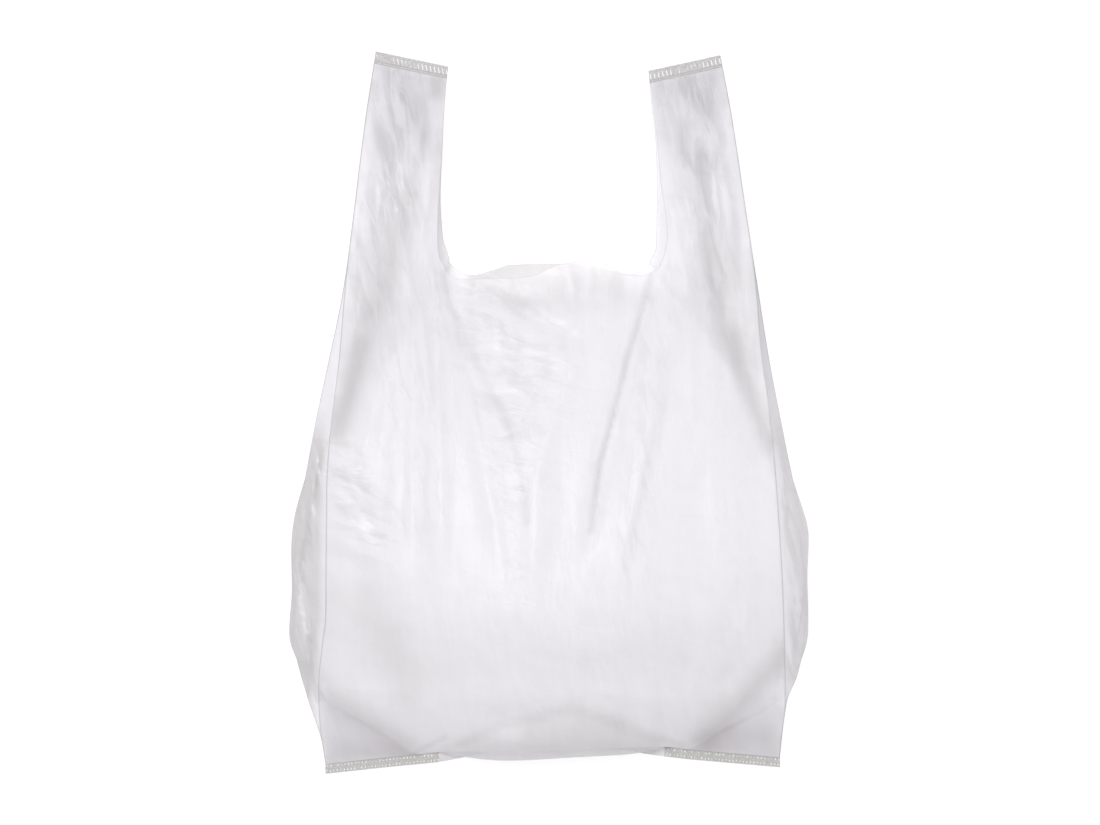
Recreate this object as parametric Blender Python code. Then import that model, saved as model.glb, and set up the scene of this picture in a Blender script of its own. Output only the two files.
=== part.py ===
"""White carrier bag of the vest kind, folded and welded from one tube of thin film.

The bag lies on its back with some air in it. Its foot points along -Y and its two
handles along +Y, and the front panel is on top. The film runs round the bag as one
ring: front panel, right gusset, back panel, left gusset. The weld along the foot joins
two layers in the middle and four at each gusset. The U-shaped neck is cut through every
layer, so each handle is a front strap and a back strap, each of doubled film, and one
weld joins the four layers at its top.

Places on the bag are given as shares: up the bag as a share of its length, and across
it as a share of the weld's width, counted from the middle.
"""

import math

import bpy
import numpy as np

# Driving sizes, in metres.
WELD_WIDTH = 0.300
BAG_LENGTH = 0.4786
FILL_HEIGHT = 0.080
FILM_WALL = 0.0004
FOOT_BAND = 0.0065
HANDLE_BAND = 0.0080
FOOT_OVERHANG = 0.0045
HANDLE_ARCH = 0.0035

# Clear gap between layers of film: beside a weld, away from it, and the way between.
WELD_GAP = 0.00020
LAYER_GAP = 0.0009
GAP_REACH = 0.003

# How far a fold's inner corner stands back from its outer corner.
FOLD_SETBACK = 0.0012
WIDEST_MITRE = 1.4

# Folds turned further than this, in degrees, are drawn sharp.
SHARP_FOLD = 50.0

# Columns of the grid round the bag, and rows up it.
STRAP_COLUMNS = 4
MIDDLE_COLUMNS = 16
FOOT_ROWS = 9
BODY_ROWS = 30
NECK_ROWS = 12
HANDLE_ROWS = 15

# Share of a gusset half that lies under the strap, and the rest runs to its crease.
STRAP_SHARE = 0.85

# Levels up the bag.
WELD_LEVEL = 0.020
PINCH_LEVEL = 0.1176
NECK_LEVEL = 0.6957

# Edge folds of the front panel: (up the bag, across it).
FRONT_FOLD_LEFT = (
    (0.000, -0.500),
    (0.073, -0.516),
    (0.118, -0.519),
    (0.177, -0.509),
    (0.221, -0.500),
    (0.405, -0.497),
    (0.458, -0.492),
    (0.575, -0.471),
    (0.682, -0.457),
    (0.793, -0.436),
    (0.903, -0.415),
    (1.000, -0.392),
)
FRONT_FOLD_RIGHT = (
    (0.000, 0.498),
    (0.046, 0.504),
    (0.101, 0.513),
    (0.219, 0.507),
    (0.378, 0.493),
    (0.488, 0.478),
    (0.587, 0.458),
    (0.682, 0.446),
    (0.802, 0.419),
    (0.918, 0.392),
    (1.000, 0.368),
)

# Edge folds of the back panel, which make the outline of the body.
BACK_FOLD_LEFT = (
    (0.000, -0.496),
    (0.046, -0.512),
    (0.101, -0.541),
    (0.156, -0.566),
    (0.184, -0.575),
    (0.267, -0.575),
    (0.350, -0.562),
    (0.461, -0.533),
    (0.575, -0.495),
    (0.627, -0.477),
    (0.682, -0.461),
    (0.793, -0.437),
    (0.903, -0.416),
    (1.000, -0.392),
)
BACK_FOLD_RIGHT = (
    (0.000, 0.497),
    (0.097, 0.516),
    (0.140, 0.542),
    (0.173, 0.552),
    (0.231, 0.561),
    (0.299, 0.551),
    (0.373, 0.539),
    (0.461, 0.512),
    (0.571, 0.478),
    (0.682, 0.450),
    (0.802, 0.420),
    (0.918, 0.392),
    (1.000, 0.368),
)

# Creases down the middle of the gussets. They start folded in at the foot, stand out
# past the front panel in the body, and are folded in again below the neck.
CREASE_LEFT = (
    (0.026, -0.303),
    (0.118, -0.520),
    (0.170, -0.549),
    (0.225, -0.568),
    (0.281, -0.560),
    (0.371, -0.531),
    (0.454, -0.493),
    (0.571, -0.372),
    (0.696, -0.205),
)
CREASE_RIGHT = (
    (0.033, 0.301),
    (0.115, 0.514),
    (0.184, 0.535),
    (0.253, 0.551),
    (0.329, 0.542),
    (0.378, 0.511),
    (0.422, 0.486),
    (0.571, 0.365),
    (0.696, 0.203),
)

# Lines that the inner edges of the straps follow, and that go on down the panels.
FRONT_INNER_LEFT = (
    (0.000, -0.342),
    (0.350, -0.315),
    (0.550, -0.280),
    (0.650, -0.252),
    (0.696, -0.237),
    (0.717, -0.251),
    (0.744, -0.254),
    (0.862, -0.245),
    (0.927, -0.240),
    (1.000, -0.228),
)
FRONT_INNER_RIGHT = (
    (0.000, 0.340),
    (0.350, 0.312),
    (0.550, 0.272),
    (0.650, 0.245),
    (0.696, 0.233),
    (0.721, 0.246),
    (0.744, 0.251),
    (0.765, 0.249),
    (0.815, 0.237),
    (0.878, 0.229),
    (0.925, 0.221),
    (1.000, 0.208),
)
BACK_INNER_LEFT = (
    (0.000, -0.342),
    (0.350, -0.315),
    (0.550, -0.280),
    (0.650, -0.250),
    (0.707, -0.229),
    (0.744, -0.244),
    (0.799, -0.249),
    (0.862, -0.245),
    (0.927, -0.240),
    (1.000, -0.228),
)
BACK_INNER_RIGHT = (
    (0.000, 0.340),
    (0.350, 0.312),
    (0.550, 0.272),
    (0.650, 0.240),
    (0.704, 0.213),
    (0.730, 0.227),
    (0.815, 0.229),
    (0.878, 0.226),
    (0.925, 0.217),
    (1.000, 0.208),
)

# Cut edge of each panel in the neck: (share from the left strap, up the bag).
FRONT_NECK = (
    (0.000, 0.696),
    (0.070, 0.684),
    (0.305, 0.685),
    (0.399, 0.688),
    (0.549, 0.705),
    (0.657, 0.708),
    (0.737, 0.705),
    (0.862, 0.689),
    (0.915, 0.689),
    (1.000, 0.699),
)
BACK_NECK = (
    (0.000, 0.707),
    (0.060, 0.694),
    (0.120, 0.690),
    (0.220, 0.697),
    (0.300, 0.704),
    (0.550, 0.706),
    (0.750, 0.701),
    (0.900, 0.691),
    (1.000, 0.705),
)

# Upper edge of the weld along the foot: (share from the left end, up the bag).
FOOT_WELD = (
    (0.000, 0.013),
    (0.200, 0.026),
    (0.300, 0.031),
    (0.400, 0.028),
    (0.560, 0.033),
    (0.730, 0.037),
    (0.800, 0.033),
    (1.000, 0.022),
)

# Turn of the foot weld under the bag, in radians: (share from the left end, turn).
FOOT_TUCK = (
    (0.000, 0.00),
    (0.230, 0.00),
    (0.290, 0.70),
    (0.370, 1.50),
    (0.630, 1.50),
    (0.710, 0.70),
    (0.770, 0.00),
    (1.000, 0.00),
)

# Upper ends of the handles: (outer corner, inner corner), up the bag.
LEFT_HANDLE_TOP = (1.000, 0.979)
RIGHT_HANDLE_TOP = (0.995, 0.973)

# Heights of the front panel as shares of the fill height: (up the bag, height).
FOLD_HEIGHT_LEFT = (
    (0.020, 0.00),
    (0.060, 0.03),
    (0.118, 0.08),
    (0.170, 0.33),
    (0.225, 0.55),
    (0.300, 0.68),
    (0.371, 0.70),
    (0.454, 0.64),
    (0.571, 0.50),
    (0.696, 0.36),
    (0.780, 0.35),
    (1.000, 0.27),
)
FOLD_HEIGHT_RIGHT = (
    (0.020, 0.00),
    (0.070, 0.03),
    (0.115, 0.10),
    (0.173, 0.36),
    (0.231, 0.57),
    (0.300, 0.68),
    (0.371, 0.70),
    (0.454, 0.64),
    (0.571, 0.50),
    (0.696, 0.36),
    (0.780, 0.35),
    (1.000, 0.27),
)
CROWN_HEIGHT = (
    (0.020, 0.80),
    (0.118, 0.93),
    (0.225, 1.00),
    (0.330, 0.97),
    (0.454, 0.86),
    (0.571, 0.66),
    (0.696, 0.45),
    (0.780, 0.42),
    (1.000, 0.31),
)
CROWN_POWER = 2.4
EDGE_SOFTNESS = 0.03

# Share of the length over which a front strap comes down to its weld.
HANDLE_DESCENT = 0.13

# The folds fade out where the panel stands lower than this, in metres.
RELIEF_FULL_LIFT = 0.015

# Folds in the front panel: (up and across at the start, up and across at the end,
# half width in metres, height in metres, where a valley is below nought).
FRONT_FOLDS = (
    (0.690, 0.222, 0.340, 0.082, 0.0070, -0.0045),
    (0.655, 0.270, 0.330, 0.150, 0.0110, 0.0040),
    (0.860, -0.335, 0.450, -0.475, 0.0150, -0.0050),
    (0.820, 0.335, 0.410, 0.470, 0.0150, -0.0050),
    (0.700, -0.262, 0.290, -0.255, 0.0085, 0.0035),
    (0.680, -0.310, 0.280, -0.300, 0.0080, -0.0028),
    (0.680, -0.215, 0.290, -0.110, 0.0095, -0.0035),
    (0.675, -0.150, 0.420, -0.060, 0.0110, 0.0025),
    (0.560, -0.380, 0.380, -0.470, 0.0140, 0.0040),
    (0.640, -0.110, 0.560, 0.040, 0.0070, 0.0020),
    (0.480, -0.020, 0.270, -0.045, 0.0090, 0.0020),
    (0.420, 0.300, 0.220, 0.330, 0.0150, -0.0025),
    (0.160, -0.500, 0.040, -0.330, 0.0100, 0.0030),
    (0.180, 0.500, 0.045, 0.330, 0.0110, 0.0030),
    (0.085, -0.200, 0.060, 0.150, 0.0110, -0.0040),
)

# Slack in the gussets: how far the film stands out between its folds.
GUSSET_BULGE = 0.004
GUSSET_WAVES = 5.0
GUSSET_WAVE_HEIGHT = 0.0022

# Levels between which the gussets stand out, and how far up they take to start and stop.
STAND_OUT_START = 0.13
STAND_OUT_RISE = 0.07
STAND_OUT_END = 0.50
STAND_OUT_FALL = 0.10

# Level where the front straps start to arch, and how far up they take to do so.
ARCH_START = 0.62
ARCH_RISE = 0.12

# How quickly a fold of the front panel fades in at its start and out at its end.
FADE_AT_START = 4.0
FADE_AT_END = 3.0

# Where a gusset's crease is cut in the neck, and how far up the handles its layers
# take to lie close to the panels.
CREASE_NECK_LEVEL = 0.686
HUG_REACH = 0.12

# How far in from the foot weld the back panel takes to come down to the ground, and
# how far down the band its lower skin leaves it where the band is turned under.
TUCK_REACH = 0.020
CORNER_DROP = 0.0008

PANEL_COLUMNS = 2 * STRAP_COLUMNS + MIDDLE_COLUMNS
GUSSET_COLUMNS = STRAP_COLUMNS + 1
WELD_CENTRE = 2 * FILM_WALL + 1.5 * WELD_GAP

# Places round the ring of film, counted from the left fold of the front panel.
RIGHT_FRONT_FOLD = PANEL_COLUMNS
RIGHT_BACK_FOLD = RIGHT_FRONT_FOLD + 2 * GUSSET_COLUMNS
LEFT_BACK_FOLD = RIGHT_BACK_FOLD + PANEL_COLUMNS
RING = LEFT_BACK_FOLD + 2 * GUSSET_COLUMNS

# Rows up the film.
NECK_ROW = FOOT_ROWS + BODY_ROWS
TOP_ROW = NECK_ROW + HANDLE_ROWS


def smooth_curve(points, at):
    """Value at each place of a smooth curve through the points, with no overshoot."""
    places, values = np.array(points, float).T
    steps = np.diff(places)
    slopes = np.diff(values) / steps
    product = slopes[:-1] * slopes[1:]
    total = slopes[:-1] + slopes[1:]
    same_way = product > 0
    inner = np.where(same_way, 2 * product / np.where(same_way, total, 1.0), 0.0)
    tangents = np.concatenate([slopes[:1], inner, slopes[-1:]])
    at = np.clip(at, places[0], places[-1])
    piece = np.clip(np.searchsorted(places, at, side="right") - 1, 0, len(steps) - 1)
    step = steps[piece]
    u = (at - places[piece]) / step
    start = (1 + 2 * u) * (1 - u) ** 2 * values[piece]
    start_slope = u * (1 - u) ** 2 * step * tangents[piece]
    end = u**2 * (3 - 2 * u) * values[piece + 1]
    end_slope = u**2 * (u - 1) * step * tangents[piece + 1]
    return start + start_slope + end + end_slope


def smooth_step(value):
    """Rise from nought to one as the value goes from nought to one."""
    held = np.clip(value, 0.0, 1.0)
    return held * held * (3 - 2 * held)


def column_places(level, fold_left, inner_left, inner_right, fold_right):
    """Place across the bag of each point of a panel, by column and row."""
    outer_left = smooth_curve(fold_left, level)
    strap_left = smooth_curve(inner_left, level)
    strap_right = smooth_curve(inner_right, level)
    outer_right = smooth_curve(fold_right, level)
    across = np.empty_like(level)
    last = len(level) - 1
    for column in range(STRAP_COLUMNS):
        share = column / STRAP_COLUMNS
        other = last - column
        across[column] = outer_left[column] + (strap_left - outer_left)[column] * share
        across[other] = outer_right[other] + (strap_right - outer_right)[other] * share
    for index in range(MIDDLE_COLUMNS + 1):
        column = STRAP_COLUMNS + index
        share = index / MIDDLE_COLUMNS
        across[column] = strap_left[column] + (strap_right - strap_left)[column] * share
    return across


def strap_shares():
    """Share of the way from the nearer edge fold to the strap's inner edge, by column."""
    column = np.arange(PANEL_COLUMNS + 1)
    return np.minimum(np.minimum(column, PANEL_COLUMNS - column) / STRAP_COLUMNS, 1.0)


def on_left():
    """Whether each column of a panel belongs to its left half."""
    return np.arange(PANEL_COLUMNS + 1) < PANEL_COLUMNS / 2


def neck_levels(neck_edge):
    """How far up the bag each column of a panel reaches before the handles start."""
    column = np.arange(PANEL_COLUMNS + 1)
    middle = smooth_curve(neck_edge, (column - STRAP_COLUMNS) / MIDDLE_COLUMNS)
    return NECK_LEVEL + (middle - NECK_LEVEL) * strap_shares()


def weld_tops():
    """Level of the lower edge of the nearer handle's weld, by column of a panel."""
    outer = np.where(on_left(), LEFT_HANDLE_TOP[0], RIGHT_HANDLE_TOP[0])
    inner = np.where(on_left(), LEFT_HANDLE_TOP[1], RIGHT_HANDLE_TOP[1])
    return outer + (inner - outer) * strap_shares() - HANDLE_BAND / BAG_LENGTH


def weld_shares(lines):
    """Share along the foot weld of each column of a panel."""
    across = column_places(np.full((PANEL_COLUMNS + 1, 1), WELD_LEVEL), *lines)[:, 0]
    return (across - across[0]) / (across[-1] - across[0])


def panel_levels(shares, neck_edge, overhang):
    """Level and rise of each point of a panel, by column and row.

    Near the foot the panel swells past the weld by the overhang. Its rows there are
    spaced by an angle, which turns from just under the swell to the level above it.
    The rise goes from nought at the weld to one at that level.
    """
    tuck = np.sin(smooth_curve(FOOT_TUCK, shares))
    drop = overhang * tuck / BAG_LENGTH
    edge = smooth_curve(FOOT_WELD, shares) - drop
    first_turn = -np.arccos(1 - drop / (PINCH_LEVEL - edge))
    climb = np.arange(FOOT_ROWS + 1) / FOOT_ROWS
    even_turn = np.arccos(1 - climb)[None, :]
    round_turn = first_turn[:, None] + (math.pi / 2 - first_turn)[:, None] * climb
    roundness = tuck[:, None] if overhang else 0.0
    turn = even_turn + (round_turn - even_turn) * roundness
    foot = edge[:, None] + (PINCH_LEVEL - edge)[:, None] * (1 - np.cos(turn))
    start = np.sin(first_turn)[:, None]
    foot_rise = (np.sin(turn) - start) / (1 - start)

    climb = np.arange(1, BODY_ROWS + 1) / BODY_ROWS
    neck = neck_levels(neck_edge)[:, None]
    pull = np.clip((climb * BODY_ROWS - (BODY_ROWS - NECK_ROWS)) / NECK_ROWS, 0, 1) ** 2
    body = PINCH_LEVEL + (NECK_LEVEL - PINCH_LEVEL) * climb + (neck - NECK_LEVEL) * pull
    climb = np.arange(1, HANDLE_ROWS + 1) / HANDLE_ROWS
    handle = neck + (weld_tops()[:, None] - neck) * climb
    above = np.ones((len(shares), BODY_ROWS + HANDLE_ROWS))
    return np.concatenate([foot, body, handle], axis=1), np.concatenate([foot_rise, above], axis=1)


def fold_relief(level, across):
    """Height that the folds of the front panel add at each point."""
    relief = np.zeros_like(level)
    up = level * BAG_LENGTH
    aside = across * WELD_WIDTH
    for start_up, start_across, end_up, end_across, half_width, height in FRONT_FOLDS:
        from_up = up - start_up * BAG_LENGTH
        from_aside = aside - start_across * WELD_WIDTH
        run_up = (end_up - start_up) * BAG_LENGTH
        run_aside = (end_across - start_across) * WELD_WIDTH
        reach = math.hypot(run_up, run_aside)
        along = (from_up * run_up + from_aside * run_aside) / reach**2
        away = (from_aside * run_up - from_up * run_aside) / reach
        fade_in = smooth_step(FADE_AT_START * along + 0.5)
        fade_out = smooth_step(FADE_AT_END * (1 - along) + 0.5)
        relief += height * fade_in * fade_out * np.exp(-((away / half_width) ** 2))
    return relief


def layer_pitch(level):
    """Pitch between stacked layers of film: least beside a weld."""
    from_weld = np.minimum(level - level[:, :1], weld_tops()[:, None] - level) * BAG_LENGTH
    opening = 1 - np.exp(-np.maximum(from_weld, 0) / GAP_REACH)
    return FILM_WALL + WELD_GAP + (LAYER_GAP - WELD_GAP) * opening


def front_lift(level, across, rise):
    """Height of the front panel over its lowest place, without its folds."""
    middle = (across[STRAP_COLUMNS] + across[-1 - STRAP_COLUMNS]) / 2
    lift = np.empty_like(level)
    sides = (
        (on_left(), 0, FOLD_HEIGHT_LEFT, CREASE_LEFT, 1.0),
        (~on_left(), -1, FOLD_HEIGHT_RIGHT, CREASE_RIGHT, -1.0),
    )
    for chosen, edge, fold_height, crease, inward in sides:
        start = np.broadcast_to(across[edge], level[chosen].shape)
        creased = smooth_curve(crease, level[chosen])
        inner = inward * np.maximum(inward * creased, inward * start)
        start = np.where(level[chosen] < PINCH_LEVEL, inner, start)
        share = np.clip((across[chosen] - start) / (middle - start), 0.0, 1.0)
        share = share**2 / (share + EDGE_SOFTNESS)
        share[:, NECK_ROW + 1 :] = share[:, NECK_ROW : NECK_ROW + 1]
        low = smooth_curve(fold_height, level[chosen])
        high = smooth_curve(CROWN_HEIGHT, level[chosen]) * rise[chosen]
        lift[chosen] = low + (high - low) * (1 - (1 - share) ** CROWN_POWER)
    return np.maximum(lift, 0.0) * FILL_HEIGHT


def stack_height(level, layers):
    """Height of the middle of the film over so many other layers, half less at a fold."""
    pitch = layer_pitch(level)
    height = FILM_WALL / 2 + layers * pitch
    height[[0, -1]] += (0.5 if layers == 0 else -0.5) * pitch[[0, -1]]
    return height


def front_panel():
    """Middle of the film of the front panel, by column and row."""
    lines = (FRONT_FOLD_LEFT, FRONT_INNER_LEFT, FRONT_INNER_RIGHT, FRONT_FOLD_RIGHT)
    shares = weld_shares(lines)
    level, rise = panel_levels(shares, FRONT_NECK, FOOT_OVERHANG)
    across = column_places(level, *lines)
    descent = smooth_step((weld_tops()[:, None] - level) / HANDLE_DESCENT)
    lift = front_lift(level, across, rise) * descent
    arch_reach = smooth_step((level - ARCH_START) / ARCH_RISE) * descent
    arch = HANDLE_ARCH * np.sin(math.pi * strap_shares())[:, None] * arch_reach
    relief = fold_relief(level, across) * smooth_step(lift / RELIEF_FULL_LIFT)
    tuck = FOOT_BAND * np.sin(smooth_curve(FOOT_TUCK, shares))[:, None] * (1 - rise)
    height = stack_height(level, 3) + lift + arch + relief + tuck
    return np.stack([across * WELD_WIDTH, level * BAG_LENGTH, height], axis=-1)


def back_panel():
    """Middle of the film of the back panel, by column and row, from left to right."""
    lines = (BACK_FOLD_LEFT, BACK_INNER_LEFT, BACK_INNER_RIGHT, BACK_FOLD_RIGHT)
    shares = weld_shares(lines)
    level, _ = panel_levels(shares, BACK_NECK, 0.0)
    across = column_places(level, *lines)
    tuck = FOOT_BAND * np.sin(smooth_curve(FOOT_TUCK, shares))[:, None]
    from_weld = (level - level[:, :1]) * BAG_LENGTH
    fall = np.clip(1 - from_weld / TUCK_REACH, 0.0, 1.0) ** 2
    height = stack_height(level, 0) + tuck * fall
    return np.stack([across * WELD_WIDTH, level * BAG_LENGTH, height], axis=-1)


def gusset(front, back, pitches, crease, outward):
    """Middle of the film of one gusset, from beside the front fold to beside the back one.

    front and back hold the columns of the panels from the edge fold inwards, and the
    pitches go with both. Outward is the way out along X.
    """
    rows = np.arange(TOP_ROW + 1)
    neck_pull = np.clip((rows - (NECK_ROW - NECK_ROWS)) / NECK_ROWS, 0, 1) ** 2
    foot_pull = np.clip(1 - rows / FOOT_ROWS, 0, 1) ** 2
    at_folds = (front[0, :, 1] + back[0, :, 1]) / 2
    at_crease = (front[GUSSET_COLUMNS, :, 1] + back[GUSSET_COLUMNS, :, 1]) / 2
    level = (at_folds + (at_crease - at_folds) * foot_pull) / BAG_LENGTH
    level = level + (CREASE_NECK_LEVEL - NECK_LEVEL) * neck_pull
    middle_height = (front[0, :, 2] + back[0, :, 2]) / 2
    places = (smooth_curve(crease, level) * WELD_WIDTH, level * BAG_LENGTH, middle_height)
    middle = np.stack(places, axis=-1)
    starting = smooth_step((level - STAND_OUT_START) / STAND_OUT_RISE)
    stood_out = starting * smooth_step((STAND_OUT_END - level) / STAND_OUT_FALL)
    wave = GUSSET_WAVE_HEIGHT * np.sin(2 * math.pi * GUSSET_WAVES * level)
    hugging = smooth_step((level - NECK_LEVEL) / HUG_REACH)
    halves = []
    for panel, side in ((front, 1.0), (back, -1.0)):
        half = []
        for column in range(1, STRAP_COLUMNS + 1):
            share = STRAP_SHARE * column / STRAP_COLUMNS
            place = panel[0] + (middle - panel[0]) * share
            pull = (neck_pull + foot_pull)[:, None]
            place = place + (panel[column] - place) * pull
            bow = (GUSSET_BULGE + side * wave) * stood_out * math.sin(math.pi * share)
            place[:, 0] += outward * bow
            pitch = pitches[column]
            span = np.abs(panel[0, :, 2] - middle_height) - pitch
            open_height = middle_height + side * (pitch / 2 + span * (1 - share))
            shut_height = panel[column, :, 2] - side * pitch
            place[:, 2] = open_height + (shut_height - open_height) * hugging
            half.append(place)
        halves.append(half)
    return np.stack([*halves[0], middle, *halves[1][::-1]])


def film_middle():
    """Middle of the film round the whole ring, by place round the ring and row."""
    front, back = front_panel(), back_panel()
    pitch = layer_pitch(front[:, :, 1] / BAG_LENGTH)
    left = gusset(front, back, pitch, CREASE_LEFT, -1.0)
    right = gusset(front[::-1], back[::-1], pitch[::-1], CREASE_RIGHT, 1.0)
    return np.concatenate([front, right, back[::-1], left[::-1]])


def strap_spans():
    """First and last place round the ring of each strap: a front and a back per handle."""
    reach = STRAP_COLUMNS
    return (
        (RIGHT_FRONT_FOLD - reach, RIGHT_FRONT_FOLD + reach),
        (RIGHT_BACK_FOLD - reach, RIGHT_BACK_FOLD + reach),
        (LEFT_BACK_FOLD - reach, LEFT_BACK_FOLD + reach),
        (RING - reach, RING + reach),
    )


def present_cells():
    """Which cells of the grid hold film: all of the body, and the straps above it."""
    cells = np.zeros((RING, TOP_ROW), bool)
    cells[:, :NECK_ROW] = True
    for first, last in strap_spans():
        cells[np.arange(first, last) % RING, NECK_ROW:] = True
    return cells


def unit(vectors):
    """Each vector at length one, and nought where it has none."""
    length = np.linalg.norm(vectors, axis=-1, keepdims=True)
    return vectors / np.maximum(length, 1e-12)


def film_skins(middle, cells):
    """Outer and inner skin of the film, half its wall to each side of its middle.

    At a sharp fold the skin outside the fold is held close to it, and the skin inside
    the fold stands back from it, so the two layers part cleanly.
    """
    beyond = np.roll(middle, -1, axis=0)
    across_cell = beyond[:, 1:] - middle[:, :-1]
    other_way = middle[:, 1:] - beyond[:, :-1]
    facing = unit(np.cross(across_cell, other_way)) * cells[:, :, None]
    padded = np.zeros((RING, TOP_ROW + 2, 3))
    padded[:, 1:-1] = facing
    after = unit(padded[:, :-1] + padded[:, 1:])
    before = np.roll(after, 1, axis=0)
    has_after = np.linalg.norm(after, axis=-1, keepdims=True) > 0.5
    has_before = np.linalg.norm(before, axis=-1, keepdims=True) > 0.5
    after, before = np.where(has_after, after, before), np.where(has_before, before, after)
    agreement = np.sum(after * before, axis=-1, keepdims=True)
    offset = (after + before) / np.maximum(1 + agreement, 0.02) * FILM_WALL / 2
    inwards = (np.roll(middle, 1, axis=0) + np.roll(middle, -1, axis=0)) / 2 - middle
    folded = agreement < 0.5
    skins = []
    for side in (1.0, -1.0):
        shift = side * offset
        length = np.linalg.norm(shift, axis=-1, keepdims=True)
        inside = np.sum(shift * inwards, axis=-1, keepdims=True) > 0
        most = np.where(inside & folded, FOLD_SETBACK, WIDEST_MITRE * FILM_WALL / 2)
        skins.append(middle + shift * np.minimum(1.0, most / np.maximum(length, 1e-9)))
    return skins


def weld_stack():
    """Place of each part of the ring in a weld's stack of layers.

    Gives the height in pitches from the middle of the stack, the way the outer skin
    faces there (nought at a fold), and two places whose difference points outwards
    along the weld (the same place twice, but for a fold).
    """
    height = np.zeros(RING)
    facing = np.zeros(RING)
    nearer, further = np.arange(RING), np.arange(RING)
    height[: RIGHT_FRONT_FOLD + 1] = 0.5
    facing[: RIGHT_FRONT_FOLD + 1] = 1.0
    height[RIGHT_BACK_FOLD : LEFT_BACK_FOLD + 1] = -0.5
    facing[RIGHT_BACK_FOLD : LEFT_BACK_FOLD + 1] = -1.0
    folds = (
        (RIGHT_FRONT_FOLD, 1, 1.0),
        (RIGHT_BACK_FOLD, -1, -1.0),
        (LEFT_BACK_FOLD, 1, -1.0),
        (RING, -1, 1.0),
    )
    steps = np.arange(1, GUSSET_COLUMNS + 1)
    for fold, to_crease, side in folds:
        panel = (fold - to_crease * steps) % RING
        half = (fold + to_crease * steps) % RING
        fold, crease = fold % RING, half[-1]
        height[panel] = 1.5 * side
        height[half], facing[half] = 0.5 * side, -side
        height[fold], facing[fold] = side, 0.0
        height[crease], facing[crease] = 0.0, 0.0
        nearer[fold] = panel[0]
        further[crease] = half[-2]
    return height, facing, nearer, further


def weld_skins(centre, face):
    """Outer and inner skin of the film in one weld's edge, where the layers are stacked."""
    height, facing, nearer, further = weld_stack()
    pitch = FILM_WALL + WELD_GAP
    middle = centre + face * (height * pitch)[:, None]
    out = unit(centre[further] - centre[nearer])
    at_crease = ((facing == 0) & (height == 0))[:, None]
    skins = []
    for side in (1.0, -1.0):
        edge_step = FILM_WALL / 2 if side > 0 else FOLD_SETBACK
        crease_step = FOLD_SETBACK if side > 0 else FILM_WALL / 2
        step = np.where(at_crease, crease_step, edge_step)
        flat_shift = face * (side * facing * FILM_WALL / 2)[:, None]
        skins.append(middle + flat_shift + side * out * step)
    return skins


def foot_weld(middle):
    """Middle line of the foot weld's edge, the way it faces and the way its band runs."""
    across = middle[:, 0, 0]
    share = (across - across.min()) / np.ptp(across)
    turn = smooth_curve(FOOT_TUCK, share)
    flat = turn * 0
    level = smooth_curve(FOOT_WELD, share) * BAG_LENGTH
    centre = np.stack([across, level, WELD_CENTRE + FOOT_BAND * np.sin(turn)], axis=-1)
    face = np.stack([flat, -np.sin(turn), np.cos(turn)], axis=-1)
    run = np.stack([flat, -np.cos(turn), -np.sin(turn)], axis=-1)
    return centre, face, run


def ring_pairs(first_fold, second_fold, columns):
    """Places beside each other in the pocket between two folds, from the folds inwards."""
    return [
        (
            (first_fold + step) % RING,
            (first_fold + step + 1) % RING,
            (second_fold - step - 1) % RING,
            (second_fold - step) % RING,
        )
        for step in range(columns)
    ]


def without_repeats(loop):
    """The loop of points without any that comes twice in a row."""
    return [point for index, point in enumerate(loop) if point != loop[index - 1]]


def zip_rows(lower, upper):
    """Triangles between two rows of points that run the same way, by their shares."""
    faces = []
    i, j = 0, 0
    while i < len(lower) - 1 or j < len(upper) - 1:
        next_lower = (i + 1) / (len(lower) - 1) if i < len(lower) - 1 else math.inf
        next_upper = (j + 1) / (len(upper) - 1) if j < len(upper) - 1 else math.inf
        if next_lower <= next_upper:
            faces.append([lower[i], lower[i + 1], upper[j]])
            i += 1
        else:
            faces.append([lower[i], upper[j + 1], upper[j]])
            j += 1
    return faces


def runs_right(place):
    """Whether the ring runs towards +X at this place."""
    in_front = place < RIGHT_FRONT_FOLD
    right_back_half = RIGHT_FRONT_FOLD + GUSSET_COLUMNS <= place < RIGHT_BACK_FOLD
    left_back_half = LEFT_BACK_FOLD <= place < LEFT_BACK_FOLD + GUSSET_COLUMNS
    return in_front or right_back_half or left_back_half


def film_faces(cells):
    """Faces of both skins and of the film's cut edges. Points are (skin, place, row).

    Each cell is split along the same diagonal in both skins and in stacked layers, so
    layers that lie close together keep their distance.
    """
    faces = []
    places, rows = np.nonzero(cells)
    for place, row in zip(places.tolist(), rows.tolist()):
        after = (place + 1) % RING
        corners = [(place, row), (after, row), (after, row + 1), (place, row + 1)]
        turn = 0 if runs_right(place) else 1
        turned = corners[turn:] + corners[:turn]
        for half in (turned[:3], [turned[0], *turned[2:]]):
            faces.append([("out", *corner) for corner in half])
            faces.append([("in", *corner) for corner in half[::-1]])
        sides = (
            (row > 0 and not cells[place, row - 1], 0),
            (not cells[after, row], 1),
            (row < TOP_ROW - 1 and not cells[place, row + 1], 2),
            (not cells[place - 1, row], 3),
        )
        for is_cut, index in sides:
            if is_cut:
                start, end = corners[index], corners[(index + 1) % 4]
                faces.append([("out", *end), ("out", *start), ("in", *start), ("in", *end)])
    return faces


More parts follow.
